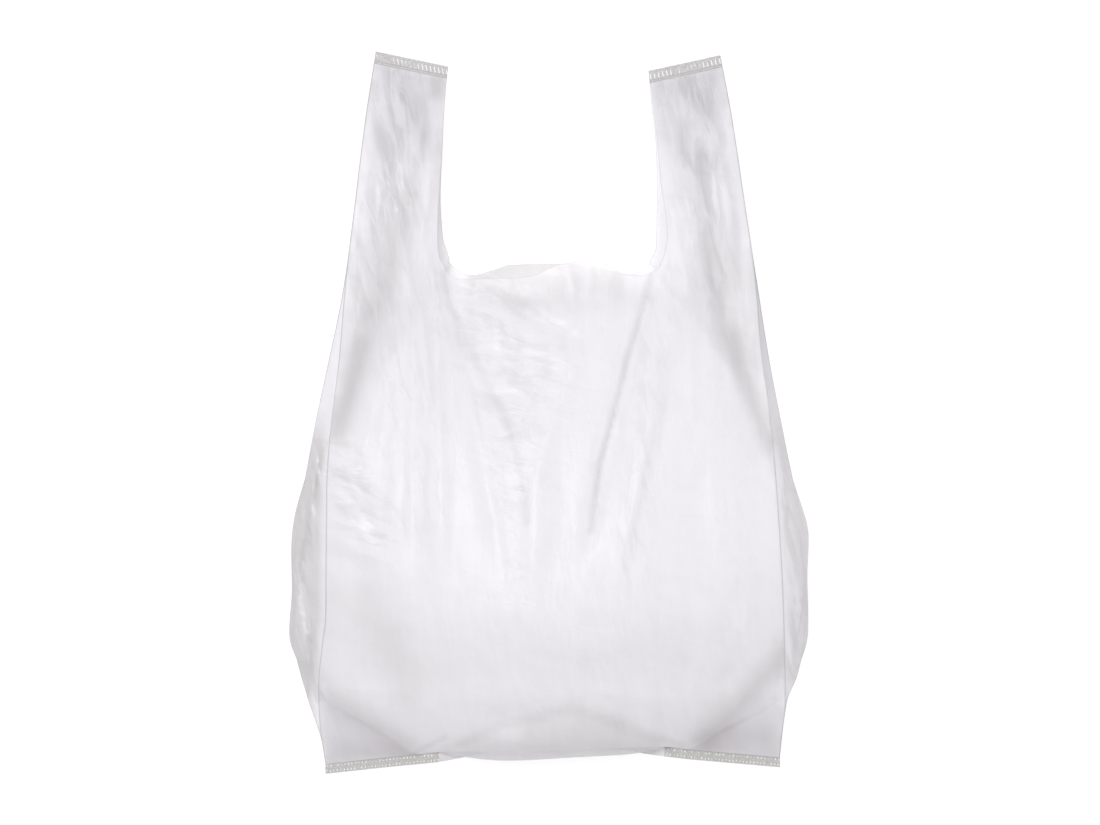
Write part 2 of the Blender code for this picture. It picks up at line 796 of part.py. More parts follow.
def foot_faces():
    """Faces of the foot weld: the ends of the bag's inside and of its pockets, and the band."""
    faces = []
    folds = ((RIGHT_FRONT_FOLD, RIGHT_BACK_FOLD), (LEFT_BACK_FOLD, RING))
    for first, second in folds:
        for a, b, c, d in ring_pairs(first, second, GUSSET_COLUMNS):
            faces.append([("out", place, 0) for place in without_repeats([b, a, d, c])])
    for fold in (RIGHT_FRONT_FOLD, RIGHT_BACK_FOLD, LEFT_BACK_FOLD, RING):
        for a, b, c, d in ring_pairs(fold, fold, GUSSET_COLUMNS):
            faces.append([("in", place, 0) for place in without_repeats([c, d, a, b])])
    reach = GUSSET_COLUMNS
    for fold in (RIGHT_FRONT_FOLD, LEFT_BACK_FOLD):
        corner = (fold - reach, fold + reach, fold + 3 * reach)
        faces.append([("in", place % RING, 0) for place in corner])
    front = [("in", place, 0) for place in range(reach, RIGHT_FRONT_FOLD - reach + 1)]
    back_places = range(LEFT_BACK_FOLD - reach, RIGHT_BACK_FOLD + reach - 1, -1)
    faces += zip_rows(front, [("in", place, 0) for place in back_places])

    front_places = list(range(RIGHT_FRONT_FOLD + 1))
    back_places = list(range(RIGHT_BACK_FOLD, LEFT_BACK_FOLD + 1))
    outline = [*front_places, *back_places]
    for place, after in zip(outline, outline[1:] + outline[:1]):
        loop = [("foot", place, 0), ("foot", after, 0), ("out", after, 0), ("out", place, 0)]
        if not runs_right(place):
            loop = loop[1:] + loop[:1]
        faces += [loop[:3], [loop[0], *loop[2:]]]
    lower = [("foot", place, 0) for place in front_places]
    upper = [("foot", place, 0) for place in back_places[::-1]]
    faces += [face[::-1] for face in zip_rows(lower, upper)]
    return faces


def handle_faces(first_span, second_span):
    """Faces of one handle's weld, which joins its two straps."""
    faces = []
    first, last = first_span
    other_first, other_last = second_span
    fold = (first + last) // 2
    other_fold = (other_first + other_last) // 2
    for a, b, c, d in ring_pairs(fold, other_fold, STRAP_COLUMNS):
        faces.append([("out", place, TOP_ROW) for place in without_repeats([a, b, c, d])])
    for centre in (fold, other_fold):
        for a, b, c, d in ring_pairs(centre, centre, STRAP_COLUMNS):
            faces.append([("in", place, TOP_ROW) for place in without_repeats([d, c, b, a])])
    outline = [*range(first, fold + 1), *range(other_fold, other_last + 1)]
    outline = [place % RING for place in outline]
    for place, after in zip(outline[:-1], outline[1:]):
        edge = [("out", place, TOP_ROW), ("out", after, TOP_ROW)]
        faces.append([*edge, ("top", after, TOP_ROW), ("top", place, TOP_ROW)])
    count = len(outline)
    for index in range(count // 2 - 1):
        loop = (index, index + 1, count - 2 - index, count - 1 - index)
        faces.append([("top", outline[at], TOP_ROW) for at in loop])
    side = [("out", first), ("top", first), ("top", other_last), ("out", other_last)]
    side += [("in", other_last), ("in", other_first), ("out", other_first)]
    side += [("out", last), ("in", last), ("in", first)]
    faces.append([(skin, place % RING, TOP_ROW) for skin, place in side])
    return faces


def bag_points(middle, cells):
    """Grids of points that the faces use, by name."""
    outer, inner = film_skins(middle, cells)
    centre, face, run = foot_weld(middle)
    outer[:, 0], inner[:, 0] = weld_skins(centre, face)
    turned_in = slice(RIGHT_BACK_FOLD, LEFT_BACK_FOLD + 1)
    outer[turned_in, 0, 2] -= np.abs(face[turned_in, 1]) * CORNER_DROP
    foot = outer[:, :1] + run[:, None] * FOOT_BAND
    upright = np.broadcast_to([0.0, 0.0, 1.0], (RING, 3))
    centre = middle[:, TOP_ROW].copy()
    centre[:, 2] = WELD_CENTRE
    outer[:, TOP_ROW], inner[:, TOP_ROW] = weld_skins(centre, upright)
    lean = unit(middle[:, TOP_ROW] - middle[:, TOP_ROW - 1])
    lean[:, 2] = 0.0
    top = outer.copy()
    top[:, TOP_ROW] += unit(lean) * HANDLE_BAND
    return {"out": outer, "in": inner, "foot": foot, "top": top}


def build_bag():
    """The whole bag as one closed mesh, with its box centred over the origin."""
    middle = film_middle()
    cells = present_cells()
    grids = bag_points(middle, cells)
    spans = strap_spans()
    faces = film_faces(cells) + foot_faces()
    faces += handle_faces(spans[0], spans[1]) + handle_faces(spans[2], spans[3])

    keys = sorted({key for face in faces for key in face})
    number = {key: index for index, key in enumerate(keys)}
    points = np.array([grids[skin][place, row] for skin, place, row in keys])
    low, high = points.min(axis=0), points.max(axis=0)
    points -= [(low[0] + high[0]) / 2, (low[1] + high[1]) / 2, low[2]]

    mesh = bpy.data.meshes.new("carrier_bag")
    mesh.from_pydata(points.tolist(), [], [[number[key] for key in face] for face in faces])
    mesh.validate()
    mesh.shade_smooth()
    mesh.set_sharp_from_angle(angle=math.radians(SHARP_FOLD))
    bag = bpy.data.objects.new("carrier_bag", mesh)
    bpy.context.scene.collection.objects.link(bag)
    return bag


def white_film():
    """Thin white polythene, a little cloudy, with a soft shine."""
    material = bpy.data.materials.new("white_film")
    material.use_nodes = True
    surface = material.node_tree.nodes["Principled BSDF"]
    surface.inputs["Base Color"].default_value = (0.86, 0.86, 0.88, 1.0)
    surface.inputs["Roughness"].default_value = 0.35
    return material


for leftover in list(bpy.data.objects):
    bpy.data.objects.remove(leftover, do_unlink=True)

carrier_bag = build_bag()
carrier_bag.data.materials.append(white_film())
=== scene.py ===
"""White carrier bag of thin blown film, lying on its back on a pale floor.

The film is one sheet that runs round the bag as a ring: front panel, right gusset,
back panel, left gusset. Its layers are welded together along the foot and at the top
of each handle. The shape is worked out on one grid, round the ring and up the bag.
"""

import logging
import math
from dataclasses import dataclass, field
from enum import Enum

import bpy
import numpy as np
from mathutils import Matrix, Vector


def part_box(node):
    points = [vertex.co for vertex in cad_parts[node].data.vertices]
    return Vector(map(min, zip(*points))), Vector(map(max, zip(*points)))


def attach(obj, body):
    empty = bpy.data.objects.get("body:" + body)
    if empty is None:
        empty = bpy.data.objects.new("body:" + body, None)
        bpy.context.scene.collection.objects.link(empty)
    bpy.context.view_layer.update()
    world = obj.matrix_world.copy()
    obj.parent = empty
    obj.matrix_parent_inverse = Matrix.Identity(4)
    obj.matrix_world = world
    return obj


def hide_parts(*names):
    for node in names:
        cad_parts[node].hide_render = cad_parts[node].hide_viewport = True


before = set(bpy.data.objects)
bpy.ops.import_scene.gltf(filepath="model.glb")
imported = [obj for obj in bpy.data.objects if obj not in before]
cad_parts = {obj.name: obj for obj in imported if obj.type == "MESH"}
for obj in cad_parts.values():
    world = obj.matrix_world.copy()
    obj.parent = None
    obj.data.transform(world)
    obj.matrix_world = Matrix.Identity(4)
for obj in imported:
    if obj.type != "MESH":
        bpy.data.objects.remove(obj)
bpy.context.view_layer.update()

LOG = logging.getLogger("carrier_bag")

Curve = tuple[tuple[float, float], ...]
Socket = bpy.types.NodeSocket
Paint = Socket | tuple[float, float, float, float]

# Metres to a pixel of the photograph at the floor, and the photograph's middle.
PIXEL = 0.000662
PHOTO_WIDTH = 1100.0
PHOTO_MIDDLE = (550.0, 412.5)
MILLIMETRE = 0.001

# Values along a side of the noise's lattice, and the lattice place of the bag's middle.
LATTICE = 256
LATTICE_MIDDLE = (96.3, 96.7)


def linear(code: str) -> tuple[float, float, float, float]:
    """Turn an sRGB hex colour into linear red, green, blue and alpha.

    Args:
        code: Six hex digits, with or without a leading #.

    Returns:
        Linear colour with alpha one.
    """
    digits = code.lstrip("#")
    parts = np.array([int(digits[i : i + 2], 16) / 255 for i in (0, 2, 4)])
    low = parts / 12.92
    high = ((parts + 0.055) / 1.055) ** 2.4
    red, green, blue = np.where(parts <= 0.04045, low, high).tolist()
    return red, green, blue, 1.0


def smooth_curve(points: Curve, at: np.ndarray) -> np.ndarray:
    """Value at each place of a smooth curve through the points, with no overshoot.

    Each stretch is a cubic whose end slopes are the harmonic mean of the slopes of
    the stretches that meet there, or nought where those turn round.

    Args:
        points: Place and value of each point, in order of place.
        at: Places to read.

    Returns:
        Values, in the shape of at.
    """
    places, values = np.array(points, float).T
    steps = np.diff(places)
    slopes = np.diff(values) / steps
    product = slopes[:-1] * slopes[1:]
    total = slopes[:-1] + slopes[1:]
    inner = np.where(product > 0, 2 * product / np.where(product > 0, total, 1.0), 0.0)
    tangents = np.concatenate([slopes[:1], inner, slopes[-1:]])
    held = np.clip(at, places[0], places[-1])
    piece = np.clip(np.searchsorted(places, held, side="right") - 1, 0, len(steps) - 1)
    step = steps[piece]
    u = (held - places[piece]) / step
    start = (1 + 2 * u) * (1 - u) ** 2 * values[piece]
    start_slope = u * (1 - u) ** 2 * step * tangents[piece]
    end = u**2 * (3 - 2 * u) * values[piece + 1]
    end_slope = u**2 * (u - 1) * step * tangents[piece + 1]
    return start + start_slope + end + end_slope


def smooth_step(value: np.ndarray) -> np.ndarray:
    """Rise from nought to one, 3v^2 - 2v^3, as the value goes from nought to one."""
    held = np.clip(value, 0.0, 1.0)
    return held * held * (3 - 2 * held)


def unit(vectors: np.ndarray) -> np.ndarray:
    """Each vector divided by its length."""
    return vectors / np.maximum(np.linalg.norm(vectors, axis=-1, keepdims=True), 1e-12)


def lattice_noise(x: np.ndarray, y: np.ndarray, cell: tuple[float, float], seed: int) -> np.ndarray:
    """Smooth noise from -1 to 1: seeded values on a lattice, blended by smooth steps.

    Args:
        x: Places across, in metres.
        y: Places up the bag, in metres.
        cell: Size of a lattice cell across and up, in metres.
        seed: Seed of the lattice's values.

    Returns:
        Noise, in the shape of x.
    """
    values = np.random.default_rng(seed).uniform(-1, 1, (LATTICE, LATTICE))
    u, v = x / cell[0] + LATTICE_MIDDLE[0], y / cell[1] + LATTICE_MIDDLE[1]
    i, j = np.floor(u).astype(int), np.floor(v).astype(int)
    s, t = smooth_step(u - i), smooth_step(v - j)
    i, j = i % (LATTICE - 1), j % (LATTICE - 1)
    low = values[i, j] * (1 - s) + values[i + 1, j] * s
    high = values[i, j + 1] * (1 - s) + values[i + 1, j + 1] * s
    return low * (1 - t) + high * t


def ridged_noise(x: np.ndarray, y: np.ndarray, cell: tuple[float, float], seed: int) -> np.ndarray:
    """Noise with sharp ridges like creases in film: 1 - 2|n|, where n is smooth noise."""
    return 1 - 2 * np.abs(lattice_noise(x, y, cell, seed))


class Fold(Enum):
    """Section of a crease in the film."""

    SOFT = "soft"
    SHARP = "sharp"


@dataclass(frozen=True)
class Crease:
    """One crease in the front film, placed by the photograph.

    Attributes:
        start: Pixel where it starts.
        end: Pixel where it ends.
        width: Half width, in millimetres.
        height: Height, in millimetres, where a valley is below nought.
        fold: Form of its section.
        bow: How far its middle bows to its right, in millimetres.
        fade: Steepness of the fade at its ends, in fades to its length.
    """

    start: tuple[float, float]
    end: tuple[float, float]
    width: float
    height: float
    fold: Fold = Fold.SOFT
    bow: float = 0.0
    fade: float = 2.4

    def relief(self, x: np.ndarray, y: np.ndarray) -> np.ndarray:
        """Height that the crease adds, its section times a fade at both ends.

        The section is exp(-(d/w)^2) where soft and exp(-|d|/w) where sharp, with d the
        distance from the crease's line, which bows by 4s(1 - s) of the bow at share s of
        its length.

        Args:
            x: Places across, in metres.
            y: Places up the bag, in metres.

        Returns:
            Heights, in metres.
        """
        start_x, start_y = from_photo(*self.start)
        end_x, end_y = from_photo(*self.end)
        run_x, run_y = end_x - start_x, end_y - start_y
        reach = math.hypot(run_x, run_y)
        along = ((x - start_x) * run_x + (y - start_y) * run_y) / reach**2
        away = ((x - start_x) * run_y - (y - start_y) * run_x) / reach
        held = np.clip(along, 0.0, 1.0)
        bowed = away - MILLIMETRE * self.bow * 4 * held * (1 - held)
        away = bowed / (MILLIMETRE * self.width)
        faded = smooth_step(self.fade * along + 0.5) * smooth_step(self.fade * (1 - along) + 0.5)
        section = np.exp(-(away**2) if self.fold is Fold.SOFT else -np.abs(away))
        return MILLIMETRE * self.height * faded * section


def from_photo(across: float, down: float) -> tuple[float, float]:
    """Place in the row frame, in metres, of a pixel of the photograph."""
    return (across - PHOTO_MIDDLE[0]) * PIXEL, (PHOTO_MIDDLE[1] - down) * PIXEL


@dataclass(frozen=True)
class Outline:
    """Lines of the bag as shares: up the bag of its length, across it of the weld's width."""

    front_fold: dict[int, Curve]
    back_fold: dict[int, Curve]
    gusset_crease: dict[int, Curve]
    front_inner: dict[int, Curve]
    back_inner: dict[int, Curve]
    front_neck: Curve
    back_neck: Curve
    foot_weld: Curve
    foot_tuck: Curve
    handle_top: dict[int, tuple[float, float]]
    fold_height: dict[int, Curve]
    crown_height: Curve


LEFT, RIGHT = -1, 1

VEST_BAG = Outline(
    front_fold={
        LEFT: (
            (0.000, -0.500), (0.073, -0.516), (0.118, -0.519), (0.177, -0.509),
            (0.221, -0.500), (0.405, -0.497), (0.458, -0.492), (0.575, -0.471),
            (0.682, -0.457), (0.793, -0.436), (0.903, -0.415), (1.000, -0.392),
        ),
        RIGHT: (
            (0.000, 0.498), (0.046, 0.504), (0.101, 0.513), (0.219, 0.507),
            (0.378, 0.493), (0.488, 0.478), (0.587, 0.458), (0.682, 0.446),
            (0.802, 0.419), (0.918, 0.392), (1.000, 0.368),
        ),
    },
    back_fold={
        LEFT: (
            (0.000, -0.496), (0.046, -0.512), (0.101, -0.541), (0.156, -0.566),
            (0.184, -0.575), (0.267, -0.575), (0.350, -0.562), (0.461, -0.533),
            (0.575, -0.495), (0.627, -0.477), (0.682, -0.461), (0.793, -0.437),
            (0.903, -0.416), (1.000, -0.392),
        ),
        RIGHT: (
            (0.000, 0.497), (0.097, 0.516), (0.140, 0.542), (0.173, 0.552),
            (0.231, 0.561), (0.299, 0.551), (0.373, 0.539), (0.461, 0.512),
            (0.571, 0.478), (0.682, 0.450), (0.802, 0.420), (0.918, 0.392),
            (1.000, 0.368),
        ),
    },
    gusset_crease={
        LEFT: (
            (0.026, -0.303), (0.118, -0.520), (0.170, -0.549), (0.225, -0.568),
            (0.281, -0.560), (0.371, -0.531), (0.454, -0.493), (0.571, -0.405),
            (0.696, -0.310), (0.780, -0.255), (0.840, -0.235),
        ),
        RIGHT: (
            (0.033, 0.301), (0.115, 0.514), (0.184, 0.535), (0.253, 0.551),
            (0.329, 0.542), (0.378, 0.511), (0.422, 0.486), (0.571, 0.395),
            (0.696, 0.300), (0.780, 0.240), (0.840, 0.220),
        ),
    },
    front_inner={
        LEFT: (
            (0.000, -0.342), (0.350, -0.315), (0.550, -0.280), (0.650, -0.252),
            (0.696, -0.237), (0.717, -0.251), (0.744, -0.254), (0.862, -0.245),
            (0.927, -0.240), (1.000, -0.228),
        ),
        RIGHT: (
            (0.000, 0.340), (0.350, 0.312), (0.550, 0.272), (0.650, 0.245),
            (0.696, 0.233), (0.721, 0.246), (0.744, 0.251), (0.765, 0.249),
            (0.815, 0.237), (0.878, 0.229), (0.925, 0.221), (1.000, 0.208),
        ),
    },
    back_inner={
        LEFT: (
            (0.000, -0.342), (0.350, -0.315), (0.550, -0.280), (0.650, -0.250),
            (0.707, -0.229), (0.744, -0.244), (0.799, -0.249), (0.862, -0.245),
            (0.927, -0.240), (1.000, -0.228),
        ),
        RIGHT: (
            (0.000, 0.340), (0.350, 0.312), (0.550, 0.272), (0.650, 0.240),
            (0.704, 0.213), (0.730, 0.227), (0.815, 0.229), (0.878, 0.226),
            (0.925, 0.217), (1.000, 0.208),
        ),
    },
    front_neck=(
        (0.000, 0.696), (0.070, 0.684), (0.305, 0.685), (0.399, 0.688),
        (0.549, 0.705), (0.657, 0.708), (0.737, 0.705), (0.862, 0.689),
        (0.915, 0.689), (1.000, 0.699),
    ),
    back_neck=(
        (0.000, 0.707), (0.060, 0.694), (0.120, 0.690), (0.220, 0.697),
        (0.300, 0.704), (0.550, 0.706), (0.750, 0.701), (0.900, 0.691),
        (1.000, 0.705),
    ),
    foot_weld=(
        (0.000, 0.013), (0.200, 0.026), (0.300, 0.031), (0.400, 0.028),
        (0.560, 0.033), (0.730, 0.037), (0.800, 0.033), (1.000, 0.022),
    ),
    foot_tuck=(
        (0.000, 0.00), (0.230, 0.00), (0.290, 0.70), (0.370, 1.50),
        (0.630, 1.50), (0.710, 0.70), (0.770, 0.00), (1.000, 0.00),
    ),
    handle_top={LEFT: (1.000, 0.979), RIGHT: (0.995, 0.973)},
    fold_height={
        LEFT: (
            (0.020, 0.00), (0.060, 0.03), (0.118, 0.08), (0.170, 0.33),
            (0.225, 0.55), (0.300, 0.68), (0.371, 0.70), (0.454, 0.64),
            (0.571, 0.50), (0.696, 0.36), (0.780, 0.35), (1.000, 0.27),
        ),
        RIGHT: (
            (0.020, 0.00), (0.070, 0.03), (0.115, 0.10), (0.173, 0.36),
            (0.231, 0.57), (0.300, 0.68), (0.371, 0.70), (0.454, 0.64),
            (0.571, 0.50), (0.696, 0.36), (0.780, 0.35), (1.000, 0.27),
        ),
    },
    crown_height=(
        (0.020, 0.80), (0.118, 0.93), (0.225, 1.00), (0.330, 0.97),
        (0.454, 0.86), (0.571, 0.66), (0.696, 0.45), (0.780, 0.42),
        (1.000, 0.31),
    ),
)

# Broad folds of the front panel, the ones that carry on from handle to body.
BROAD_CREASES = (
    Crease((654, 274), (591, 527), 5.0, -4.5),
    Crease((676, 299), (621, 534), 8.0, 3.5),
    Crease((402, 151), (338, 448), 15.0, -5.0),
    Crease((705, 180), (766, 476), 15.0, -5.0),
    Crease((435, 267), (438, 563), 8.0, 3.0),
    Crease((413, 281), (418, 570), 7.0, -2.5),
    Crease((456, 281), (504, 563), 8.0, -3.5),
    Crease((486, 285), (526, 469), 10.0, 2.5),
    Crease((381, 368), (341, 498), 13.0, 4.0),
    Crease((504, 310), (572, 368), 6.5, 2.0),
    Crease((544, 426), (533, 578), 8.5, 2.0),
    Crease((689, 469), (703, 614), 15.0, -2.5),
    Crease((327, 657), (404, 744), 9.0, 3.0),
    Crease((780, 643), (703, 740), 10.0, 3.0),
    Crease((463, 712), (621, 730), 11.0, -4.0),
)

# Finer creases: thin pulled lines, crinkles of the loose film and gathers at the foot.
FINE_CREASES = (
    Crease((652, 272), (603, 462), 1.8, -3.2, Fold.SHARP, 1.5),
    Crease((606, 440), (590, 545), 2.2, -1.6, Fold.SHARP),
    Crease((690, 280), (648, 400), 4.0, 1.6, Fold.SHARP),
    Crease((655, 380), (622, 560), 3.0, 2.4, Fold.SHARP, -2.0),
    Crease((668, 400), (640, 520), 3.0, -1.2, Fold.SHARP),
    Crease((443, 272), (482, 420), 2.2, -2.0, Fold.SHARP),
    Crease((470, 390), (512, 560), 2.6, 1.6, Fold.SHARP),
    Crease((505, 540), (517, 620), 2.2, 1.0, Fold.SHARP),
    Crease((427, 268), (420, 430), 2.4, 1.8, Fold.SHARP),
    Crease((410, 300), (404, 520), 3.4, 1.6, Fold.SHARP),
    Crease((438, 300), (446, 560), 2.6, 1.4, Fold.SHARP),
    Crease((395, 330), (380, 470), 3.0, -1.4, Fold.SHARP),
    Crease((372, 420), (352, 500), 2.6, 1.2, Fold.SHARP),
    Crease((331, 452), (395, 505), 3.2, 2.2, Fold.SHARP, 2.0),
    Crease((334, 470), (378, 530), 2.6, -1.8, Fold.SHARP),
    Crease((330, 492), (372, 545), 2.4, 1.6, Fold.SHARP),
    Crease((332, 518), (365, 528), 2.0, 1.2, Fold.SHARP),
    Crease((455, 300), (520, 345), 2.0, 1.4, Fold.SHARP),
    Crease((470, 286), (548, 328), 1.8, -1.2, Fold.SHARP),
    Crease((452, 315), (500, 375), 1.8, 1.0, Fold.SHARP),
    Crease((480, 342), (532, 352), 1.6, 0.5, Fold.SHARP),
    Crease((488, 374), (536, 362), 1.6, -0.5, Fold.SHARP),
    Crease((494, 398), (548, 404), 1.6, 0.4, Fold.SHARP),
    Crease((500, 436), (534, 424), 1.6, -0.4, Fold.SHARP),
    Crease((484, 474), (522, 466), 1.5, 0.4, Fold.SHARP),
    Crease((486, 500), (530, 506), 1.5, 0.4, Fold.SHARP),
    Crease((500, 578), (528, 572), 1.5, 0.4, Fold.SHARP),
    Crease((530, 300), (580, 330), 2.0, 1.2, Fold.SHARP),
    Crease((545, 350), (590, 320), 2.2, 1.0, Fold.SHARP),
    Crease((522, 420), (560, 340), 2.6, 1.6, Fold.SHARP),
    Crease((540, 470), (575, 360), 4.0, 1.6, Fold.SHARP),
    Crease((372, 66), (410, 170), 2.6, 1.4, Fold.SHARP, -2.0),
    Crease((398, 100), (425, 210), 2.6, -1.4, Fold.SHARP),
    Crease((428, 100), (412, 190), 2.2, 1.2, Fold.SHARP),
    Crease((386, 160), (372, 280), 3.6, 1.4, Fold.SHARP),
    Crease((440, 120), (418, 260), 3.4, 1.8, Fold.SHARP),
    Crease((366, 180), (356, 330), 2.6, -1.2, Fold.SHARP),
    Crease((664, 90), (682, 180), 2.4, 1.2, Fold.SHARP),
    Crease((716, 80), (700, 190), 3.0, -1.6, Fold.SHARP),
    Crease((700, 90), (722, 230), 2.6, 1.4, Fold.SHARP),
    Crease((684, 140), (712, 300), 3.4, 1.6, Fold.SHARP),
    Crease((726, 180), (742, 330), 2.6, 1.2, Fold.SHARP),
    Crease((704, 240), (738, 380), 3.6, -1.6, Fold.SHARP),
    Crease((668, 200), (690, 290), 3.0, 1.2, Fold.SHARP),
    Crease((445, 752), (571, 704), 7.0, -2.6, Fold.SOFT, -8.0),
    Crease((571, 704), (672, 742), 7.0, -2.6, Fold.SOFT, -8.0),
    Crease((430, 700), (425, 752), 9.0, 2.4),
    Crease((322, 690), (412, 752), 4.0, 2.6, Fold.SHARP),
    Crease((783, 652), (702, 742), 4.0, 2.6, Fold.SHARP),
    Crease((560, 650), (640, 640), 12.0, 1.6),
    Crease((370, 600), (410, 690), 12.0, -1.6),
    Crease((735, 590), (712, 700), 9.0, -2.4),
)


@dataclass(frozen=True)
class SoftPatch:
    """Soft patch along a path, with a weight: painted shade on the film in the patches of shade, the
    strength of crumpling in the crumpled zones.

    Attributes:
        path: Pixels that its middle line runs through.
        width: Half width, in millimetres.
        cling: Weight of painted shade there, and of crumpling in the crumpled zones; below nought it takes
            painted shade away.
    """

    path: tuple[tuple[float, float], ...]
    width: float
    cling: float

    def spread(self, x: np.ndarray, y: np.ndarray) -> np.ndarray:
        """Weight times exp(-(d/w)^2), with d the distance from the nearest stretch of the path."""
        places = [from_photo(*pixel) for pixel in self.path]
        away = np.full(x.shape, np.inf)
        for (start_x, start_y), (end_x, end_y) in zip(places, places[1:]):
            run_x, run_y = end_x - start_x, end_y - start_y
            along = ((x - start_x) * run_x + (y - start_y) * run_y) / (run_x**2 + run_y**2)
            held = np.clip(along, 0.0, 1.0)
            away = np.minimum(away, np.hypot(x - start_x - run_x * held, y - start_y - run_y * held))
        return self.cling * np.exp(-((away / (MILLIMETRE * self.width)) ** 2))


# Patches of painted shade over the grey of stuck layers: along the shaded bands of the folds, in the handles
# and corners, under the tuck of the foot and as a dark line along its edge. Those below nought take painted
# shade away, as painted light.
PAINTED_SHADE_PATCHES = (
    # The left handle and shoulder, from the weld down.
    SoftPatch(((404, 84), (421, 135)), 6.0, 0.26),
    SoftPatch(((424, 135), (421, 160)), 3.0, 0.24),
    SoftPatch(((440, 74), (437, 92)), 6.0, 0.26),
    SoftPatch(((379, 128), (388, 174)), 4.5, 0.22),
    SoftPatch(((380, 74), (400, 114)), 2.8, -0.40),
    SoftPatch(((405, 144), (413, 188)), 3.0, -0.34),
    SoftPatch(((434, 102), (436, 124)), 4.0, -0.24),
    SoftPatch(((431, 170), (430, 200)), 4.0, -0.40),
    SoftPatch(((372, 106), (364, 170)), 3.0, -0.30),
    SoftPatch(((405, 190), (398, 243), (386, 285), (372, 318), (357, 355), (350, 391), (337, 432)), 8.0, 0.42),
    SoftPatch(((362, 345), (352, 385), (338, 434)), 8.0, 0.44),
    SoftPatch(((374, 235), (362, 310)), 9.0, 0.16),
    SoftPatch(((424, 235), (415, 300)), 8.0, -0.26),
    SoftPatch(((430, 330), (430, 410)), 3.5, 0.12),
    # The right handle and shoulder.
    SoftPatch(((701, 84), (706, 112)), 7.0, 0.28),
    SoftPatch(((686, 124), (686, 162)), 4.0, 0.34),
    SoftPatch(((673, 104), (676, 126)), 4.0, -0.16),
    SoftPatch(((666, 152), (670, 188)), 4.0, -0.34),
    SoftPatch(((730, 112), (737, 190)), 4.0, -0.34),
    SoftPatch(((701, 158), (704, 195), (708, 243), (713, 290), (724, 330), (741, 376), (768, 448)), 6.5, 0.30),
    SoftPatch(((732, 340), (748, 388), (766, 440)), 8.0, 0.34),
    SoftPatch(((730, 260), (750, 360)), 9.0, 0.20),
    SoftPatch(((676, 215), (690, 320)), 8.0, -0.26),
    SoftPatch(((742, 200), (746, 240)), 4.0, -0.16),
    # The corners, and the film drawn up from them.
    SoftPatch(((325, 690), (405, 748)), 9.0, 0.42),
    SoftPatch(((340, 750), (400, 748)), 7.0, 0.20),
    SoftPatch(((785, 650), (705, 740)), 9.5, 0.62),
    SoftPatch(((700, 740), (770, 735)), 8.0, 0.26),
    SoftPatch(((372, 590), (405, 690)), 12.0, 0.28),
    SoftPatch(((735, 640), (712, 710)), 8.0, 0.14),
    SoftPatch(((335, 600), (380, 640)), 16.0, 0.16),
    # The tuck over the middle of the foot.
    SoftPatch(((470, 748), (650, 744)), 8.0, 0.46),
    SoftPatch(((535, 728), (615, 726)), 9.0, 0.42),
    SoftPatch(((446, 750), (500, 724), (571, 706), (610, 718), (658, 738)), 4.0, 0.42),
    SoftPatch(((415, 757), (500, 767), (640, 762)), 1.6, 0.40),
    SoftPatch(((408, 757), (424, 748), (446, 736)), 1.8, 0.42),
    SoftPatch(((694, 752), (680, 744), (662, 738)), 1.8, 0.36),
    SoftPatch(((430, 660), (650, 650)), 32.0, 0.24),
    # The long crease, and the folds that fan from the corner of the neck.
    SoftPatch(((652, 275), (637, 327), (626, 362), (618, 396), (606, 442), (600, 460), (591, 530)), 2.1, 0.52),
    SoftPatch(((446, 274), (452, 305), (468, 345), (488, 385), (512, 430), (528, 520)), 3.2, 0.34),
    SoftPatch(((458, 280), (500, 292), (530, 308), (552, 324)), 3.0, 0.30),
    SoftPatch(((472, 340), (500, 520)), 7.0, 0.08),
    SoftPatch(((396, 420), (390, 500)), 2.6, 0.20),
    # The crumpled patch under the left shoulder.
    SoftPatch(((334, 476), (348, 483), (368, 488)), 2.8, 0.34),
    SoftPatch(((334, 496), (350, 512), (364, 524), (384, 534)), 2.8, 0.32),
    SoftPatch(((334, 545), (372, 560)), 7.0, 0.18),
)
# Film gathered along the bag, in long slivers: bumped, with painted shade and painted glints along them.
CRUMPLES = (
    SoftPatch(((395, 90), (400, 200)), 17.0, 0.70),
    SoftPatch(((375, 220), (362, 300)), 13.0, 0.45),
    SoftPatch(((390, 310), (395, 400)), 10.0, 0.35),
    SoftPatch(((690, 90), (708, 190)), 16.0, 0.60),
    SoftPatch(((712, 220), (718, 290)), 10.0, 0.50),
    SoftPatch(((425, 280), (420, 520)), 16.0, 0.34),
    SoftPatch(((660, 300), (630, 560)), 10.0, 0.45),
    SoftPatch(((322, 450), (300, 590), (318, 700)), 5.0, 0.80),
    SoftPatch(((770, 430), (798, 600), (782, 700)), 5.0, 0.70),
)
# Loose film rucked across the bag: bumped, with painted shade and painted glints along it.
RUMPLES = (
    SoftPatch(((480, 310), (535, 370)), 22.0, 0.54),
    SoftPatch(((500, 390), (518, 470)), 15.0, 0.42),
    SoftPatch(((515, 480), (515, 600)), 9.0, 0.20),
    SoftPatch(((345, 465), (370, 530)), 14.0, 0.80),
)


